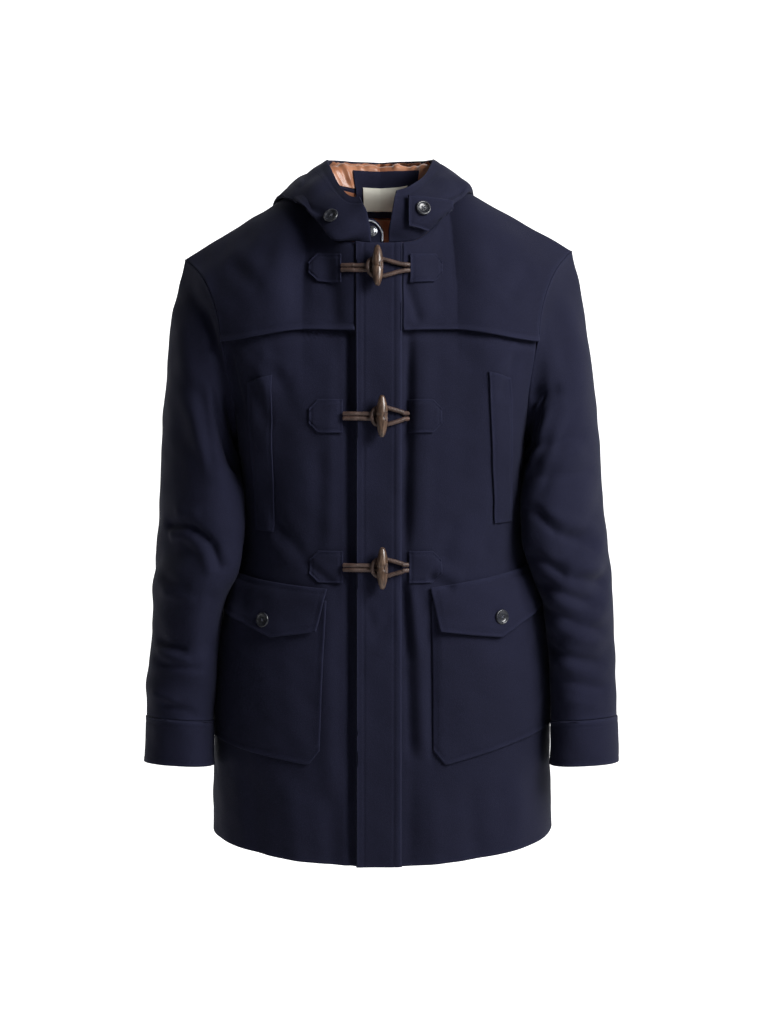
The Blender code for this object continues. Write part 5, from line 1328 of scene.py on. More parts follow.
def spread(low, top, shares):
    """Grid between two rows of values."""
    return low[:, None] * (1 - shares) + top[:, None] * shares


def build_welts(cloth, thread):
    """Upright bands beside the hand-warmer slits."""
    for side in (1, -1):
        low, top = np.array(WELT[side])
        ends = place(side, -1, np.array([low[:2].mean(), top[:2].mean()]), np.array([low[2], top[2]]))[1]
        rows = np.linspace(ends[0], ends[1], WELT_ROWS)
        z = panel(side, -1, 0.5, rows)[..., 2]
        rise = (z - z[0]) / (z[-1] - z[0])
        us = [u_at(side, -1, low[k] + (top[k] - low[k]) * rise, rows) for k in (0, 1)]
        share = np.linspace(0, 1, WELT_COLUMNS)[:, None]
        u = us[0][None, :] * (1 - share) + us[1][None, :] * share
        v = np.repeat(rows[None, :], WELT_COLUMNS, axis=0)
        overlay(f"welt_{NAMES[side]}", side, u, v, WELT_LIFT, PATCH_CLOTH, cloth, thread, ("u0", "u1"),
                WELT_STITCH_IN, rows=ALL_EDGES)


def build_pocket(side, cloth, thread):
    """Patch pocket with a cut-off lower corner, sewn down on three sides and a little full between them."""
    top_x, low_x, low_z, corner_x, corner_z, side_x, side_z = POCKET[side]
    columns = np.concatenate([np.linspace(0, 0.18, 12), np.linspace(0.18, 1, 62)[1:]])
    shares = np.linspace(0, 1, 56)
    low_u, top_u = float(u_at(side, -1, low_x, 0.18)), float(u_at(side, -1, top_x, 0.55))
    u_low = low_u + (POCKET_SIDE_SHARE - low_u) * columns
    u_top = top_u + (POCKET_SIDE_SHARE - top_u) * columns
    v_low = v_where(
        side, -1, u_low, lambda x: np.interp(x, (low_x, corner_x, side_x), (low_z, corner_z, side_z))
    )
    v_top = v_where(side, -1, u_top, lambda x: POCKET_TOP_Z)
    u, v = spread(u_low, u_top, shares), spread(v_low, v_top, shares)
    flat = skin(side, -1, u, v, 0.0)
    across, width = arcs(flat, 0)
    near = np.minimum(np.minimum(across, width - across), arcs(flat, 1)[0])
    puff = POCKET_PUFF * smooth(0.006, 0.050, near)
    overlay(f"pocket_{NAMES[side]}", side, u, v, LIFT + puff, CLOTH, cloth, thread, ("u0", "u1", "v0"),
            POCKET_STITCH_IN)


def build_flap(side, cloth, thread):
    """Flap with a pointed lower edge that reaches out over the pocket's top."""
    top_x, top_z, low_x, low_z, point_x, point_z, side_x, side_top_z, side_low_z = FLAP[side]
    places = ((top_x, 0.66), (low_x, 0.56), (point_x, 0.54))
    top_u, low_u, point_u = (float(u_at(side, -1, x, v)) for x, v in places)
    columns = np.unique(np.append(np.linspace(0, 1, 70), (point_u - low_u) / (FLAP_SIDE_SHARE - low_u)))
    shares = np.linspace(0, 1, 26)
    u_low = low_u + (FLAP_SIDE_SHARE - low_u) * columns
    u_top = top_u + (FLAP_SIDE_SHARE - top_u) * columns
    v_low = v_where(
        side, -1, u_low, lambda x: np.interp(x, (low_x, point_x, side_x), (low_z, point_z, side_low_z))
    )
    v_top = v_where(side, -1, u_top, lambda x: np.interp(x, (top_x, side_x), (top_z, side_top_z)))
    lift = FLAP_LIFT + 0.0010 - FLAP_SEAM_DIP * smooth(0.70, 1.0, shares)
    lift = lift + FLAP_EDGE_LIFT * np.exp(-((shares / 0.24) ** 2))
    u, v = spread(u_low, u_top, shares), spread(v_low, v_top, shares)
    overlay(f"flap_{NAMES[side]}", side, u, v, lift + 0 * u, CLOTH, cloth, thread, ALL_EDGES, FLAP_STITCH_IN,
            rests_on=[f"pocket_{NAMES[side]}_cloth"])


def build_pockets(cloth, thread, button, button_thread):
    for side in (1, -1):
        build_pocket(side, cloth, thread)
        build_flap(side, cloth, thread)
        x, z = FLAP_BUTTON[side]
        out = FLAP_LIFT + CLOTH + 0.0019
        seat, over = on_front([side * x] * 2, [z] * 2, [out, out + 0.01])
        build_button(f"flap_button_{NAMES[side]}", seat, over - seat, button, button_thread)


# ---------------------------------------------------------------- buttons, snap, toggles and cords
BUTTON_RADIUS = 0.0092
BUTTON_SECTION = (       # radius share, height in metres, from the back's middle round to the well
    (0.00, 0.0000), (0.70, 0.0000), (0.93, 0.0004), (1.00, 0.0014), (0.985, 0.0024), (0.92, 0.0032),
    (0.84, 0.0034), (0.76, 0.0031), (0.69, 0.0024), (0.62, 0.0020), (0.40, 0.0018), (0.00, 0.0017),
)
HOLE_REACH = 0.0024
HOLE_RADIUS = 0.0009


def frame_of(axis):
    axis = unit(np.array(axis, float))
    up = np.array([0.0, 0.0, 1.0])
    across = unit(np.cross(up, axis))
    return across, np.cross(axis, across), axis


def revolve(name, section, centre, axis, material, turns=40):
    """Solid turned round an axis; section rows are (radius, height) from pole to pole."""
    across, up, along = frame_of(axis)
    angles = np.arange(turns) * 2 * np.pi / turns
    vertices = []
    faces = []
    rings = []
    for radius, height in section:
        if radius < 1e-6:
            rings.append([len(vertices)])
            vertices.append(centre + along * height)
        else:
            rings.append(list(range(len(vertices), len(vertices) + turns)))
            middle = centre + along * height
            vertices += [middle + radius * (np.cos(a) * across + np.sin(a) * up) for a in angles]
    for low, high in zip(rings, rings[1:]):
        for i in range(turns):
            j = (i + 1) % turns
            if len(low) == 1:
                faces.append((low[0], high[j], high[i]))
            elif len(high) == 1:
                faces.append((low[i], low[j], high[0]))
            else:
                faces.append((low[i], low[j], high[j], high[i]))
    return add_object(name, vertices, faces, [material])


# thin disc laid in each hole of a button, near-black as painted shade
HOLE_SECTION = ((0, 0.0012), (HOLE_RADIUS, 0.0014), (HOLE_RADIUS, 0.00185), (0, 0.0019))
BUTTON_THREAD_RADIUS = 0.00042


def build_button(node, seat, axis, material, thread):
    """Four-hole button, sewn on with two crossed stitches."""
    section = [(r * BUTTON_RADIUS, h) for r, h in BUTTON_SECTION]
    finish(revolve(node + "_disc", section, seat, axis, material), [node], "button")
    across, up, along = frame_of(axis)
    # near-black discs in the four holes: painted shade for the shaded depth of each hole
    for k in range(4):
        angle = (k + 0.5) * np.pi / 2
        centre = seat + HOLE_REACH * (np.cos(angle) * across + np.sin(angle) * up)
        hole = revolve(f"{node}_hole_{k + 1}", HOLE_SECTION, centre, axis, MATERIALS["hole"], 12)
        finish(hole, (), "button")
    share = np.linspace(-1, 1, 9)[:, None]
    for k, tilt in enumerate((np.pi / 4, -np.pi / 4)):
        way = np.cos(tilt) * across + np.sin(tilt) * up
        line = seat + share * way * HOLE_REACH + along * (0.0019 + 0.0006 * (1 - share**2))
        finish(tube_along(f"{node}_thread_{k + 1}", line, BUTTON_THREAD_RADIUS, thread, 8), (), "wool")


def tube_along(name, line, radius, material, sides=14, relief=None, closed=False):
    """Round cord along a line; relief(angle, distance) scales its radius."""
    line = np.asarray(line, float)
    way = np.roll(line, -1, axis=0) - np.roll(line, 1, axis=0) if closed else np.gradient(line, axis=0)
    way = unit(way)
    reach = lengths(line)
    across = np.cross(way[0], (0.0, 1.0, 0.0))
    angles = np.arange(sides) * 2 * np.pi / sides
    vertices = []
    for point, along, at in zip(line, way, reach):
        across = unit(across - along * across.dot(along))
        other = np.cross(along, across)
        scale = radius * (1.0 if relief is None else relief(angles, at))
        scale = np.broadcast_to(scale, angles.shape)[:, None]
        vertices.append(point + scale * (np.cos(angles)[:, None] * across + np.sin(angles)[:, None] * other))
    count = len(vertices)
    faces = []
    for k in range(count if closed else count - 1):
        for i in range(sides):
            j, n = (i + 1) % sides, (k + 1) % count
            faces.append((k * sides + i, k * sides + j, n * sides + j, n * sides + i))
    if not closed:
        faces += [tuple(range(sides))[::-1], tuple(range((count - 1) * sides, count * sides))]
    return add_object(name, np.concatenate(vertices), faces, [material])


BRAID_PITCH = 0.0036     # length of one turn of a strand of the braided cord
BRAID_STRANDS = 4


def braid(angles, at):
    """Relief of a round braid: strands cross both ways round the cord."""
    one = np.cos(BRAID_STRANDS * angles + at * 2 * np.pi / BRAID_PITCH)
    other = np.cos(BRAID_STRANDS * angles - at * 2 * np.pi / BRAID_PITCH)
    return 0.97 + 0.075 * np.maximum(one, other)


def resampled(points, spacing):
    """Smooth line through the points, cut into even steps."""
    dense = spline(points, np.linspace(0, len(points) - 1, 40 * len(points)))
    reach = lengths(dense)
    keep = np.linspace(0, reach[-1], int(reach[-1] / spacing) + 2)
    return np.stack([np.interp(keep, reach, dense[:, k]) for k in range(3)], axis=-1)


def on_front(x, z, out):
    """Points at the distance out from the folded fronts, at signed x and height z."""
    x, z, out = arrays(x, z, out)
    result = np.zeros(x.shape + (3,))
    for side in (1, -1):
        own = (x >= 0) if side > 0 else (x < 0)
        if own.any():
            u, v = place(side, -1, np.abs(x[own]), z[own])
            result[own] = skin(side, -1, u, v, out[own])
    return result


TOGGLE_SECTION = (       # share of the half length, radius share, from end to end
    (-1.000, 0.00), (-0.995, 0.22), (-0.970, 0.36), (-0.900, 0.50), (-0.780, 0.66), (-0.600, 0.82),
    (-0.400, 0.93), (-0.200, 0.99), (-0.110, 1.00), (-0.080, 0.94), (0.000, 0.90), (0.080, 0.94),
    (0.110, 1.00), (0.200, 0.99), (0.400, 0.93), (0.600, 0.82), (0.780, 0.66), (0.900, 0.50),
    (0.970, 0.36), (0.995, 0.22), (1.000, 0.00),
)
TOGGLE_HALF = 0.0252
TOGGLE_RADIUS = 0.0068
EYE_TURN = 0.87          # direction of the eye on a toggle, radians from straight ahead to the wearer's left
EYE_HALF = (0.0021, 0.0052)
EYE_CORD = 0.00125
EYE_SAG = 0.0012         # how far the ring's sides follow the toggle's roundness
CORD_ABOVE = 0.0010      # the cords run this much further out than the routes in the tables
CORD_STEP = 0.00045      # between the rings of a braided cord


def build_cord(node, x0, z0, half, leather):
    """Doubled cord: out along the upper half of its route and back along the mirrored lower half."""
    route = np.array(half)
    route = np.concatenate([route, route[-2::-1] * np.array([1.0, -1.0, 1.0])])
    points = on_front(x0 + route[:, 0], z0 + route[:, 1], route[:, 2] + CORD_ABOVE)
    piece = tube_along(node + "_braid", resampled(points, CORD_STEP), CORD_RADIUS, leather, 18, braid)
    finish(piece, [node], "leather")


def build_toggle(node, x0, z0, leather, horn):
    """Upright horn toggle with a waist, and the small cord ring that shows in its eye."""
    low, middle, high = on_front([x0] * 3, z0 + np.array([-0.02, 0.0, 0.02]), TOGGLE_OUT)
    axis = unit(high - low)
    section = [(r * TOGGLE_RADIUS, share * TOGGLE_HALF) for share, r in TOGGLE_SECTION]
    finish(revolve(node + "_horn", section, middle, axis, horn, 48), [node], "horn")

    ahead = unit(np.cross((1.0, 0.0, 0.0), axis))
    aside = unit(np.cross(axis, ahead))
    out = ahead * np.cos(EYE_TURN) + aside * np.sin(EYE_TURN)
    round_it = np.cross(axis, out)
    angles = np.linspace(0, 2 * np.pi, 64, endpoint=False)[:, None]
    ring = middle + out * (TOGGLE_RADIUS * 0.96 - EYE_SAG * np.cos(angles) ** 2)
    ring = ring + round_it * EYE_HALF[0] * np.cos(angles) + axis * EYE_HALF[1] * np.sin(angles)
    finish(tube_along(node + "_eye", ring, EYE_CORD, leather, 10, closed=True), (), "leather")


def build_fastenings(leather, horn):
    for k in range(3):
        x0, z0 = TOGGLE_X[k], TOGGLE_Z[k]
        over_patch = (YOKE_LIFT + CLOTH if k == 0 else 0.0) + PATCH_LIFT + 0.0022
        hairpin = (
            (-PATCH_INNER_X[-1] + SEAM * 2 - x0, 0.0027, max(over_patch, 0.0042)),
            (PLACKET_LEFT_X - 0.0030 - x0, 0.0027, CORD_OUT + 0.0008),
        )
        loop = (
            (PATCH_INNER_X[1] - SEAM * 2 - x0, 0.0031, max(over_patch, 0.0052)),
            (PLACKET_RIGHT_X + 0.0015 - x0, 0.0036, CORD_OUT + 0.0008),
        )
        build_cord(f"toggle_cord_{k + 1}", x0, z0, hairpin + TOGGLE_CORD, leather)
        build_cord(f"loop_cord_{k + 1}", x0, z0, loop + LOOP_CORD, leather)
        build_toggle(f"toggle_{k + 1}", x0, z0, leather, horn)


# ---------------------------------------------------------------- hood, neck and throat
# folds of a hood half: station and ring at both ends, half width, rise
HOOD_CREASES = {
    1: (
        (2.0, 3.3, 3.4, 3.0, 0.0060, -0.0020),
        (3.0, 2.4, 4.6, 2.6, 0.0070, 0.0020),
        (4.2, 3.4, 5.6, 3.7, 0.0080, -0.0026),
        (5.0, 2.2, 6.4, 2.6, 0.0100, 0.0030),
        (5.8, 3.0, 7.0, 3.4, 0.0100, -0.0030),
    ),
    -1: (
        (1.6, 3.2, 3.2, 2.8, 0.0070, -0.0018),
        (3.0, 2.6, 4.8, 2.4, 0.0080, 0.0020),
        (4.4, 3.6, 5.8, 3.4, 0.0080, -0.0026),
        (5.2, 2.6, 6.6, 2.2, 0.0100, 0.0030),
        (5.6, 3.3, 7.0, 3.0, 0.0100, -0.0028),
    ),
}
STATION_LENGTH = 0.034   # mean distance between the hood's stations
RING_LENGTH = 0.036      # mean distance between its rings
HOOD_WAVINESS = 1.6      # the hood is softer than the body


def hood_rise(side, station, line, points):
    """Height of the folds of a hood half."""
    height = waviness(points) * HOOD_WAVINESS
    scale = (STATION_LENGTH, RING_LENGTH) * 2
    table = [(*np.multiply(row[:4], scale), *row[4:]) for row in HOOD_CREASES[side]]
    height = add_creases(height, table, station * STATION_LENGTH, line * RING_LENGTH)
    return height * smooth(0.0, 0.5, line) * smooth(0.0, 0.4, LAST_STATION - station)


def hood_points(side, station, line, out):
    """Points of the folded hood half at the distance out."""
    station, line, out = arrays(station, line, out)
    step = 1e-3
    points = hood(side, station, line)
    du = hood(side, np.minimum(station + step, LAST_STATION), line)
    du -= hood(side, np.maximum(station - step, 0), line)
    dv = hood(side, station, np.minimum(line + step, LAST_RING))
    dv -= hood(side, station, np.maximum(line - step, 0))
    normals = side * unit(np.cross(du, dv))
    normals[..., 0] *= smooth(0.0, 0.05, LAST_STATION - station)
    normals = unit(normals)
    front_u, back_u, in_front = neck_shares(station)
    top = np.full(station.shape, 2.0)
    seam = np.where(in_front, panel_spot(side, -1, front_u, top)[1], panel_spot(side, 1, back_u, top)[1])
    share = smooth(0.0, 0.12, line)[..., None]
    normals = unit(normals * share + seam * (1 - share))
    result = points + normals * (out + hood_rise(side, station, line, points))[..., None]
    nearest = np.where(station > LAST_STATION - 1e-6, 0.0, -1.0)
    result[..., 0] = side * np.maximum(side * result[..., 0], nearest)
    return result


FACE_STITCH_IN = 0.0120  # row of stitches inside the hood's face edge
CROWN_STITCH_IN = 0.0050    # and beside the seam over the crown


def build_hood(cloth, thread):
    """Two halves that meet in the seam over the crown."""
    stations = np.linspace(0, LAST_STATION, 150)
    station, line = np.meshgrid(stations, np.linspace(0, LAST_RING, 84), indexing="ij")
    for side in (1, -1):
        flat = hood_points(side, station, line, 0.0)
        along, whole = arcs(flat, 1)
        across, width = arcs(flat, 0)
        relief = groove(whole - along, FACE_STITCH_IN, 0.0016, 0.0006)
        relief = relief + groove(width - across, CROWN_STITCH_IN, 0.0016, 0.0005)
        relief = relief + 0.0006 * np.exp(-(((whole - along) / 0.008) ** 2))
        outer = pulled_in(hood_points(side, station, line, relief), ("v0",))
        inner = pulled_in(hood_points(side, station, line, -CLOTH), ("v0",))
        node = f"hood_{NAMES[side]}"
        sheet(node, outer, inner, cloth)
        edges = [("v1", FACE_STITCH_IN, (0.004, 0.002)), ("u1", CROWN_STITCH_IN, (0.01, 0.01))]
        sew_edges(node, outer, unit(outer - inner), thread, edges, 260)


LINING_START = 5.10      # station from which the hood hangs open and shows its lining
LINING_FIRST_LINE = 0.10
GATHER_WAVES = ((23.0, 0.9, 0.0013), (41.0, 2.3, 0.0009), (67.0, 4.4, 0.0005))


def build_hood_lining(satin):
    """Gathered lining of the hood's bag: small uneven ruffles run up from the neck."""
    stations = np.linspace(LINING_START, LAST_STATION, 90)
    station, line = np.meshgrid(stations, np.linspace(LINING_FIRST_LINE, 4.993, 92), indexing="ij")
    open_part = 1 - smooth(1.0, 1.6, line) * (1 - smooth(3.7, 4.2, line))
    for side in (1, -1):
        gather = np.zeros(station.shape)
        for waves, phase, rise in GATHER_WAVES:
            gather += rise * np.sin(station * waves * 0.42 + 0.8 * np.sin(line * 2.1 + phase) + phase * side)
        gather = np.maximum(gather + 0.0012, 0) * smooth(0.0, 0.25, line - LINING_FIRST_LINE)
        gather = gather * smooth(0.0, 0.15, LAST_STATION - station) * open_part
        x = hood_points(side, station, line, 0.0)[..., 0]
        low, high = PATCH_X
        beside = 1 - smooth(low - 0.006, low, x) * (1 - smooth(high, high + 0.006, x))
        gather = gather * np.maximum(beside, smooth(PATCH_HOOD_LINES[1], PATCH_HOOD_LINES[1] + 0.12, line))
        inside = open_part * smooth(LINING_START, LINING_START + 0.15, station)
        depth = CLOTH * 0.5 + (CLOTH * 0.5 + 0.0003) * inside
        outer = hood_points(side, station, line, -depth - gather)
        inner = hood_points(side, station, line, -depth - gather - LINING * 0.6)
        sheet(f"hood_lining_{NAMES[side]}", outer, inner, satin, kind="satin", slot="satin", held="gathered",
              rests_on=[f"hood_{NAMES[side]}_cloth"])


def inside_neck(xs, zs, lines, depth):
    """Grid of points inside the back neck: up the back panel, across the seam, up the hood."""
    columns = []
    zs, lines = np.asarray(zs), np.asarray(lines, float)
    for x in xs:
        side = 1 if x >= 0 else -1
        u = float(u_at(side, 1, abs(x), 2.0))
        v = v_where(side, 1, np.full(len(zs), u), lambda x: zs)
        column = list(skin(side, 1, u, v, -depth))
        if len(lines):
            back_stations = (LAST_STATION - HOOD_NECK_STATIONS) * (1 - 0.22 * lines)
            station = LAST_STATION - u / NECK_SHARE_BACK * back_stations
            column += list(hood_points(side, np.minimum(station, LAST_STATION), lines, -depth))
        columns.append(column)
    return np.array(columns)


def build_neck(cloth, satin, label, thread):
    """Inside the back neck: a patch of the outer cloth, the bare label on it, and the lining below."""
    near = NECK_PATCH_IN + LINING
    area = np.linspace(*PATCH_X, 45), np.linspace(*PATCH_Z, 12), np.linspace(*PATCH_HOOD_LINES, 26)
    far, face = (inside_neck(*area, depth) for depth in (NECK_PATCH_IN, near + 0.0004))
    sheet("neck_patch", face, far, cloth, rests_on=["back_cloth"])
    edges = [(edge, NECK_PATCH_STITCH_IN, (0.003, 0.003)) for edge in ("u0", "u1", "v1")]
    sew_edges("neck_patch", face, unit(face - far), thread, edges)

    area = np.linspace(*LABEL_X, 50), np.linspace(*LABEL_Z, 14), np.linspace(*LABEL_HOOD_LINES, 7)[1:]
    far, face = (inside_neck(*area, near + depth) for depth in (0.0012, 0.0020))
    sheet("neck_label", face, far, label, kind="woven", slot="label", rests_on=["neck_patch_cloth"])

    area = np.linspace(*NECK_LINING_X, 70), np.linspace(*NECK_LINING_Z, 24), ()
    far, face = (inside_neck(*area, depth) for depth in (NECK_LINING_IN, NECK_LINING_IN + LINING))
    ruffle = 0.0005 * (1 + np.sin(np.linspace(0, 46, 70) + 0.7 * np.sin(np.linspace(0, 9, 70))))
    face = face + unit(face - far) * ruffle[:, None, None]
    sheet("neck_lining", face, far, satin, kind="satin", slot="satin", rests_on=["back_cloth"])


def build_tongue(cloth, piping, metal):
    """Tongue behind the neck opening: seated inside the right front and bent forward, piped and snapped."""
    bottom, bend, top = TONGUE_BEND_Z
    slope = (TONGUE_BEND_Y[1] - TONGUE_BEND_Y[0]) / (top - bend)

    def leaning(z):
        return TONGUE_BEND_Y[0] + (z - bend) * slope

    xs = np.linspace(TONGUE_X[0], TONGUE_X[-1], 30)
    tops = np.interp(xs, TONGUE_X, TONGUE_TOP_Z)
    seat = on_front(xs, bottom, -(CLOTH + 0.0009))[:, 1]
    z = bottom + (tops[:, None] - bottom) * np.linspace(0, 1, 30)[None, :]
    below = seat[:, None] + (TONGUE_BEND_Y[0] - seat[:, None]) * smooth(bottom, bend, z)
    front = np.stack([xs[:, None] + 0 * z, np.where(z < bend, below, leaning(z)), z], axis=-1)
    sheet("under_placket", front, front + np.array([0.0, CLOTH, 0.0]), cloth)

    rim_x = np.array(TONGUE_X[1:] + TONGUE_X[-1:]) - 0.0012
    rim_z = np.array(TONGUE_TOP_Z[1:] + (bend + 0.003,)) - 0.0030
    line = resampled(np.stack([rim_x, leaning(rim_z) - 0.0012, rim_z], axis=-1), 0.0006)
    finish(tube_along("piping_cord", line, PIPING_RADIUS, piping, 12), ["piping"], "piping")

    centre = np.array([SNAP_XZ[0], leaning(SNAP_XZ[1]) - 2 * SEAM, SNAP_XZ[1]])
    finish(revolve("snap_cap", SNAP_SECTION, centre, (0.0, -1.0, slope), metal, 36), ["snap"], "metal")


def on_hood(side, x, z, out):
    """Points at the distance out from the front of a hood half, at distance x and height z."""
    flip = np.array([side, 1.0, 1.0])
    a, b = find(lambda a, b: hood(side, a, b) * flip, x, z, (2.0, 2.0))
    points, normals = spot(lambda a, b: hood(side, a, b), side, a, b, LAST_STATION, LAST_RING)
    return points + normals * np.broadcast_to(np.asarray(out, float), a.shape)[..., None]


def build_throat(cloth, thread, button, button_thread):
    """Throat tab with its button, and the second button on the hood's other half."""
    corners = np.array(TAB)
    s = np.linspace(0, 1, 44)[:, None, None]
    t = np.linspace(0, 1, 34)[None, :, None]
    flat = (corners[0] * (1 - s) + corners[1] * s) * (1 - t) + (corners[3] * (1 - s) + corners[2] * s) * t
    x, z = flat[..., 0], flat[..., 1]
    s, t = s[..., 0], t[..., 0]
    lift = TAB_LIFT[0] + (TAB_LIFT[1] - TAB_LIFT[0]) * s + 0 * x
    relief = groove(edge_distance(on_hood(1, x, z, lift)), TAB_STITCH_IN, 0.0013, 0.0005)
    corner = 0.0016 * np.exp(-((1 - s) / 0.18) ** 2) * np.exp(-(t / 0.2) ** 2)
    outer = on_hood(1, x, z, lift + BAND + relief + corner)
    inner = on_hood(1, x, z, lift + corner)
    sheet("throat_tab", outer, inner, cloth, rests_on=["hood_left_cloth"])
    edges = [(edge, TAB_STITCH_IN, (TAB_STITCH_IN, TAB_STITCH_IN)) for edge in ALL_EDGES]
    sew_edges("throat_tab", outer, unit(outer - inner), thread, edges)
    for node, side, (x, z), height in (
        ("tab_button", 1, TAB_BUTTON, sum(TAB_LIFT) / 2 + BAND + 0.0004),
        ("throat_button", -1, THROAT_BUTTON, 0.0008),
    ):
        seat, over = on_hood(side, [x, x], [z, z], [height, height + 0.01])
        build_button(node, seat, over - seat, button, button_thread)


# ---------------------------------------------------------------- materials
def linear(red, green, blue):
    """Scene colour of a screen colour from 0 to 255."""
    share = np.array([red, green, blue]) / 255.0
    value = np.where(share <= 0.04045, share / 12.92, ((share + 0.055) / 1.055) ** 2.4)
    return tuple(float(c) for c in value) + (1.0,)


def grey(share):
    return share, share, share, 1


class Look:
    """One node material: its patterns are laid out in the object's own coordinates."""

    def __init__(self, name, roughness, metallic=0.0):
        self.material = bpy.data.materials.new(name)
        self.material.use_nodes = True
        self.tree = self.material.node_tree
        self.shader = self.tree.nodes["Principled BSDF"]
        self.shader.inputs["Roughness"].default_value = roughness
        self.shader.inputs["Metallic"].default_value = metallic
        self.place = self.add("ShaderNodeTexCoord").outputs["Object"]
        self.height = None

    def add(self, kind, **values):
        node = self.tree.nodes.new(kind)
        for key, value in values.items():
            if key in node.inputs:
                node.inputs[key].default_value = value
            else:
                setattr(node, key, value)
        return node

    def link(self, a, b):
        self.tree.links.new(a, b)

    def set(self, **values):
        for key, value in values.items():
            self.shader.inputs[key.replace("_", " ")].default_value = value

    def stretched(self, scale=(1, 1, 1), turn=(0, 0, 0)):
        node = self.add("ShaderNodeMapping")
        node.inputs["Scale"].default_value = scale
        node.inputs["Rotation"].default_value = turn
        self.link(self.place, node.inputs["Vector"])
        return node.outputs["Vector"]

    def noise(self, scale, detail=3.0, rough=0.5, vector=None):
        node = self.add("ShaderNodeTexNoise", Scale=scale, Detail=detail, Roughness=rough)
        self.link(vector or self.place, node.inputs["Vector"])
        return node.outputs["Fac"]

    def wave(self, scale, distortion=0.0, vector=None, direction="DIAGONAL"):
        node = self.add("ShaderNodeTexWave", Scale=scale, Distortion=distortion, bands_direction=direction)
        self.link(vector or self.place, node.inputs["Vector"])
        return node.outputs["Fac"]

    def ramp(self, factor, *stops):
        node = self.add("ShaderNodeValToRGB")
        ramp = node.color_ramp
        while len(ramp.elements) < len(stops):
            ramp.elements.new(0.5)
        for element, (at, colour) in zip(ramp.elements, stops):
            element.position = at
            element.color = colour
        self.link(factor, node.inputs["Fac"])
        return node.outputs["Color"]

    def mix(self, factor, a, b, blend="MIX"):
        node = self.add("ShaderNodeMix", data_type="RGBA", blend_type=blend)
        for socket, value in ((node.inputs[0], factor), (node.inputs[6], a), (node.inputs[7], b)):
            if hasattr(value, "links"):
                self.link(value, socket)
            else:
                socket.default_value = value
        return node.outputs[2]

    def colour(self, value):
        self.link(value, self.shader.inputs["Base Color"])

    def speckle(self, factor, low, high, most, base, other):
        """Base colour that turns towards the other where the factor is between low and high."""
        return self.mix(self.ramp(factor, (low, grey(0)), (high, grey(most))), base, other)

    def bump(self, height, strength, distance):
        node = self.add("ShaderNodeBump", Strength=strength, Distance=distance)
        self.link(height, node.inputs["Height"])
        if self.height is not None:
            self.link(self.height, node.inputs["Normal"])
        self.height = node.outputs["Normal"]
        self.link(self.height, self.shader.inputs["Normal"])

    def vary(self, factor, low, high):
        node = self.add("ShaderNodeMapRange")
        node.inputs["To Min"].default_value = low
        node.inputs["To Max"].default_value = high
        self.link(factor, node.inputs["Value"])
        self.link(node.outputs["Result"], self.shader.inputs["Roughness"])

    def worn(self):
        node = self.add("ShaderNodeAttribute", attribute_name="worn")
        return node.outputs["Fac"]


def wool(name, dark, light, fibre, worn):
    look = Look(name, 0.92)
    patches = look.noise(9.0, 3.0, 0.55)
    base = look.ramp(patches, (0.30, dark), (0.70, light))
    colour = look.speckle(look.noise(1500.0, 2.0, 0.7), 0.52, 0.72, 1, base, fibre)
    edge = look.mix(look.worn(), grey(0), grey(0.22))
    look.colour(look.mix(edge, colour, worn))
    nap = look.noise(620.0, 4.0, 0.65)
    twill = look.wave(420.0, 1.2)
    look.bump(nap, 0.55, 0.0006)
    look.bump(twill, 0.16, 0.0003)
    look.set(Sheen_Weight=0.035, Sheen_Roughness=0.40, Sheen_Tint=(0.55, 0.60, 0.85, 1.0))
    look.set(Specular_IOR_Level=0.16)
    return look.material


def satin(name, dark, light):
    look = Look(name, 0.34)
    cloudy = look.noise(26.0, 2.0, 0.5)
    base = look.ramp(cloudy, (0.30, dark), (0.72, light))
    weave = look.wave(900.0, 0.3, look.stretched((1.0, 1.0, 0.35)))
    look.colour(look.speckle(weave, 0.2, 0.9, 0.22, base, light))
    look.bump(weave, 0.10, 0.0002)
    look.bump(look.noise(120.0, 3.0, 0.5), 0.20, 0.0012)
    look.set(Sheen_Weight=0.25, Sheen_Roughness=0.3, Specular_IOR_Level=0.55, Anisotropic=0.4)
    return look.material


def woven_label(name):
    look = Look(name, 0.72)
    over = look.wave(900.0, 0.2, direction="X")
    under = look.wave(900.0, 0.2, direction="Z")
    grid = look.mix(0.5, over, under)
    base = look.ramp(look.noise(60.0), (0.3, linear(222, 220, 206)), (0.7, linear(232, 230, 217)))
    look.colour(look.speckle(grid, 0.2, 0.8, 0.25, base, linear(240, 239, 228)))
    look.bump(grid, 0.25, 0.0002)
    look.set(Sheen_Weight=0.2)
    return look.material


def horn(name):
    look = Look(name, 0.30)
    lengthwise = look.stretched((1.0, 1.0, 0.16))
    streaks = look.noise(420.0, 5.0, 0.6, lengthwise)
    clouds = look.noise(70.0, 3.0, 0.5)
    stops = (0.32, linear(40, 28, 22)), (0.50, linear(86, 66, 54)), (0.74, linear(140, 116, 98))
    look.colour(look.speckle(clouds, 0.35, 0.7, 0.4, look.ramp(streaks, *stops), linear(92, 68, 50)))
    look.bump(streaks, 0.20, 0.0004)
    look.vary(streaks, 0.24, 0.42)
    look.set(Coat_Weight=0.35, Coat_Roughness=0.18)
    return look.material


def leather(name):
    look = Look(name, 0.52)
    grain = look.noise(900.0, 4.0, 0.6)
    base = look.ramp(look.noise(160.0, 3.0), (0.3, linear(62, 46, 40)), (0.72, linear(98, 76, 68)))
    look.colour(look.speckle(grain, 0.4, 0.75, 0.4, base, linear(40, 26, 22)))
    look.bump(grain, 0.35, 0.0003)
    look.vary(grain, 0.42, 0.62)
    look.set(Coat_Weight=0.12, Coat_Roughness=0.35)
    return look.material


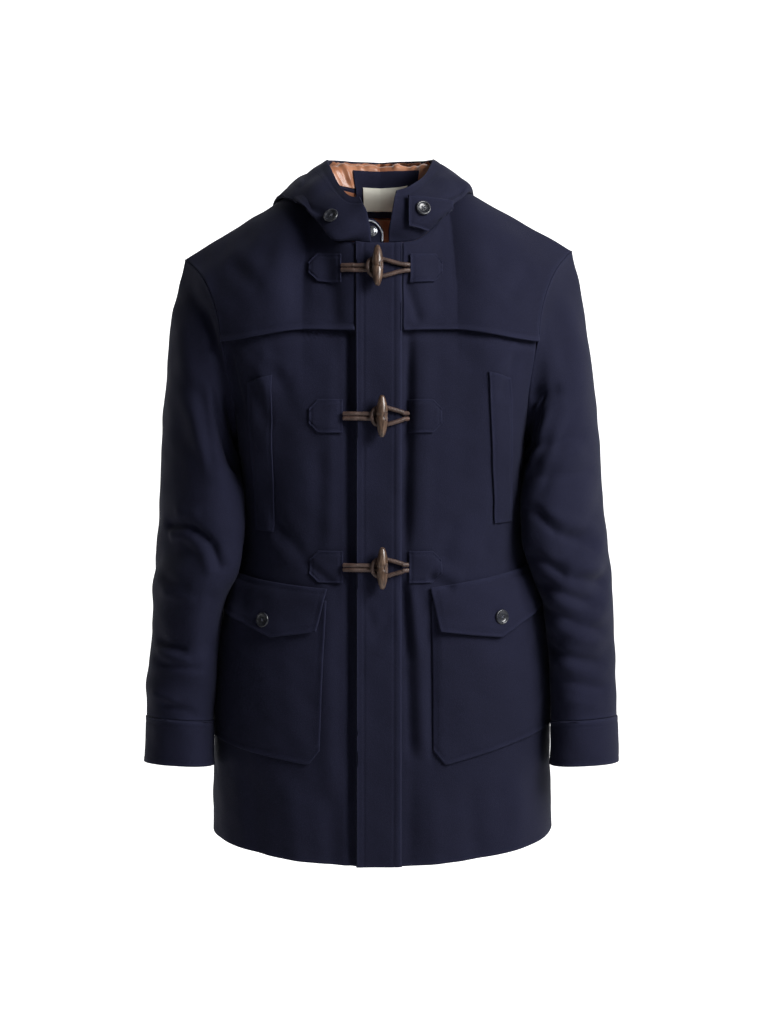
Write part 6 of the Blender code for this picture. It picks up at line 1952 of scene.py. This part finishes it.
def resin(name, dark, light, roughness):
    look = Look(name, roughness)
    marble = look.noise(300.0, 5.0, 0.65)
    look.colour(look.ramp(marble, (0.35, dark), (0.75, light)))
    look.bump(look.noise(1400.0, 2.0), 0.08, 0.0001)
    look.vary(marble, roughness * 0.8, roughness * 1.4)
    look.set(Coat_Weight=0.4, Coat_Roughness=0.12)
    return look.material


def metal(name):
    look = Look(name, 0.24, 1.0)
    scratches = look.noise(800.0, 3.0, 0.6, look.stretched((1.0, 1.0, 0.2)))
    look.colour(look.ramp(scratches, (0.3, linear(176, 180, 186)), (0.8, linear(222, 226, 232))))
    look.bump(scratches, 0.08, 0.0001)
    look.vary(scratches, 0.18, 0.34)
    return look.material


def cord_cloth(name):
    look = Look(name, 0.75)
    twist = look.wave(700.0, 0.4)
    look.colour(look.ramp(twist, (0.1, linear(128, 134, 146)), (0.8, linear(196, 200, 206))))
    look.bump(twist, 0.3, 0.0003)
    return look.material


NAVY_DARK = linear(24, 25, 42)
NAVY_LIGHT = linear(28, 29, 48)
NAVY_FIBRE = linear(38, 40, 62)
NAVY_WORN = linear(44, 46, 70)
THREAD_LIGHT = linear(40, 44, 70)

MATERIALS = {
    "wool": wool("navy_wool", NAVY_DARK, NAVY_LIGHT, NAVY_FIBRE, NAVY_WORN),
    "thread": wool("navy_thread", linear(20, 21, 38), linear(26, 28, 48), THREAD_LIGHT, THREAD_LIGHT),
    "satin": satin("copper_satin", linear(138, 84, 58), linear(206, 146, 112)),
    "label": woven_label("cream_label"),
    "horn": horn("brown_horn"),
    "leather": leather("brown_cord"),
    "button": resin("dark_button", linear(22, 23, 28), linear(58, 60, 68), 0.26),
    # hole: painted shade, near-black resin for the discs that stand for the shaded inside of the button's
    # holes
    "hole": resin("button_hole_shade", linear(6, 6, 8), linear(12, 12, 14), 0.6),
    "button_thread": wool(
        "grey_thread", linear(70, 72, 84), linear(96, 98, 110), linear(130, 132, 142), linear(110, 112, 124)
    ),
    "piping": cord_cloth("pale_piping"),
    "metal": metal("snap_metal"),
}


# ---------------------------------------------------------------- stage, light and camera
FLOOR_Z = -1.43
GLOW = (("From Min", 0.1), ("From Max", 1.0), ("To Min", 0.0), ("To Max", 0.92))    # of the floor along y
WORLD_GLOW = 0.055
SWEEP_Y = 2.4            # where the floor begins to curve up
SWEEP_RADIUS = 1.6
SWEEP_TOP = 6.0
SWEEP_WIDTH = 9.0
CAMERA_AT = (0.005, -2.70013, -0.13421)
CAMERA_PITCH = 6.0       # degrees down
LENS = 75.16             # millimetres, for a sensor of 36


def build_stage():
    """Pale floor that sweeps up into a plain wall behind the coat."""
    bend = np.linspace(0, np.pi / 2, 13)
    depth = np.concatenate([[-4.0], SWEEP_Y + SWEEP_RADIUS * np.sin(bend), [SWEEP_Y + SWEEP_RADIUS]])
    height = np.concatenate([[0.0], SWEEP_RADIUS * (1 - np.cos(bend)), [SWEEP_TOP]]) + FLOOR_Z
    corners = [(x, y, z) for y, z in zip(depth, height) for x in (-SWEEP_WIDTH, SWEEP_WIDTH)]
    faces = [(2 * k, 2 * k + 1, 2 * k + 3, 2 * k + 2) for k in range(len(depth) - 1)]
    mesh = bpy.data.meshes.new("floor")
    mesh.from_pydata(corners, [], faces)
    mesh.shade_smooth()
    floor = link_object("floor", mesh)
    look = Look("pale_floor", 0.9)
    look.colour(look.ramp(look.noise(3.0), (0.3, grey(0.84)), (0.7, grey(0.87))))
    depth_at = look.add("ShaderNodeSeparateXYZ")
    look.link(look.place, depth_at.inputs["Vector"])
    glow = look.add("ShaderNodeMapRange", interpolation_type="SMOOTHSTEP")
    for socket, value in GLOW:
        glow.inputs[socket].default_value = value
    look.link(depth_at.outputs["Y"], glow.inputs["Value"])
    look.link(glow.outputs["Result"], look.shader.inputs["Emission Strength"])
    look.set(Emission_Color=(1.0, 1.0, 1.0, 1.0))
    mesh.materials.append(look.material)

    world = bpy.context.scene.world or bpy.data.worlds.new("world")
    bpy.context.scene.world = world
    world.use_nodes = True
    backdrop = world.node_tree.nodes["Background"]
    backdrop.inputs["Color"].default_value = (0.92, 0.94, 1.0, 1.0)
    backdrop.inputs["Strength"].default_value = WORLD_GLOW
    bpy.context.scene.view_settings.view_transform = "Standard"


LIT = (0.0, 0.0, -0.42)  # the coat's middle, at which the lamps are aimed
LIGHTS = (               # name, place, size, power
    ("key", (1.75, -1.25, 1.0), 1.2, 68.0),
    ("chest", (1.10, -1.15, 0.35), 0.7, 7.0),
    ("fill", (-0.6, -3.2, 0.5), 1.6, 2.5),
)


def build_lights():
    for name, place_at, size, power in LIGHTS:
        data = bpy.data.lights.new(name, "AREA")
        data.size = size
        data.energy = power
        lamp = link_object(name, data)
        lamp.location = place_at
        lamp.rotation_euler = aimed(np.subtract(LIT, place_at))


def aimed(way):
    """Rotation that points a lamp along a direction, upright."""
    way = unit(way)
    return float(np.arccos(-way[2])), 0.0, float(np.arctan2(-way[0], way[1]))


def build_camera():
    data = bpy.data.cameras.new("camera")
    data.lens = LENS
    data.sensor_fit = "AUTO"
    data.sensor_width = 36.0
    camera = link_object("camera", data)
    camera.location = CAMERA_AT
    camera.rotation_euler = (np.radians(90.0 - CAMERA_PITCH), 0.0, 0.0)
    bpy.context.scene.camera = camera


# ---------------------------------------------------------------- the coat
def main():
    look = MATERIALS
    build_fronts(look["wool"], look["satin"])
    build_back(look["wool"], look["satin"])
    build_sleeves(look["wool"], look["thread"])
    build_yokes(look["wool"], look["thread"])
    build_placket(look["wool"], look["thread"])
    build_patches(look["wool"], look["thread"])
    build_welts(look["wool"], look["thread"])
    build_pockets(look["wool"], look["thread"], look["button"], look["button_thread"])
    build_fastenings(look["leather"], look["horn"])
    build_hood(look["wool"], look["thread"])
    build_hood_lining(look["satin"])
    build_neck(look["wool"], look["satin"], look["label"], look["thread"])
    build_tongue(look["wool"], look["piping"], look["metal"])
    build_throat(look["wool"], look["thread"], look["button"], look["button_thread"])
    build_stage()
    build_lights()
    build_camera()


main()
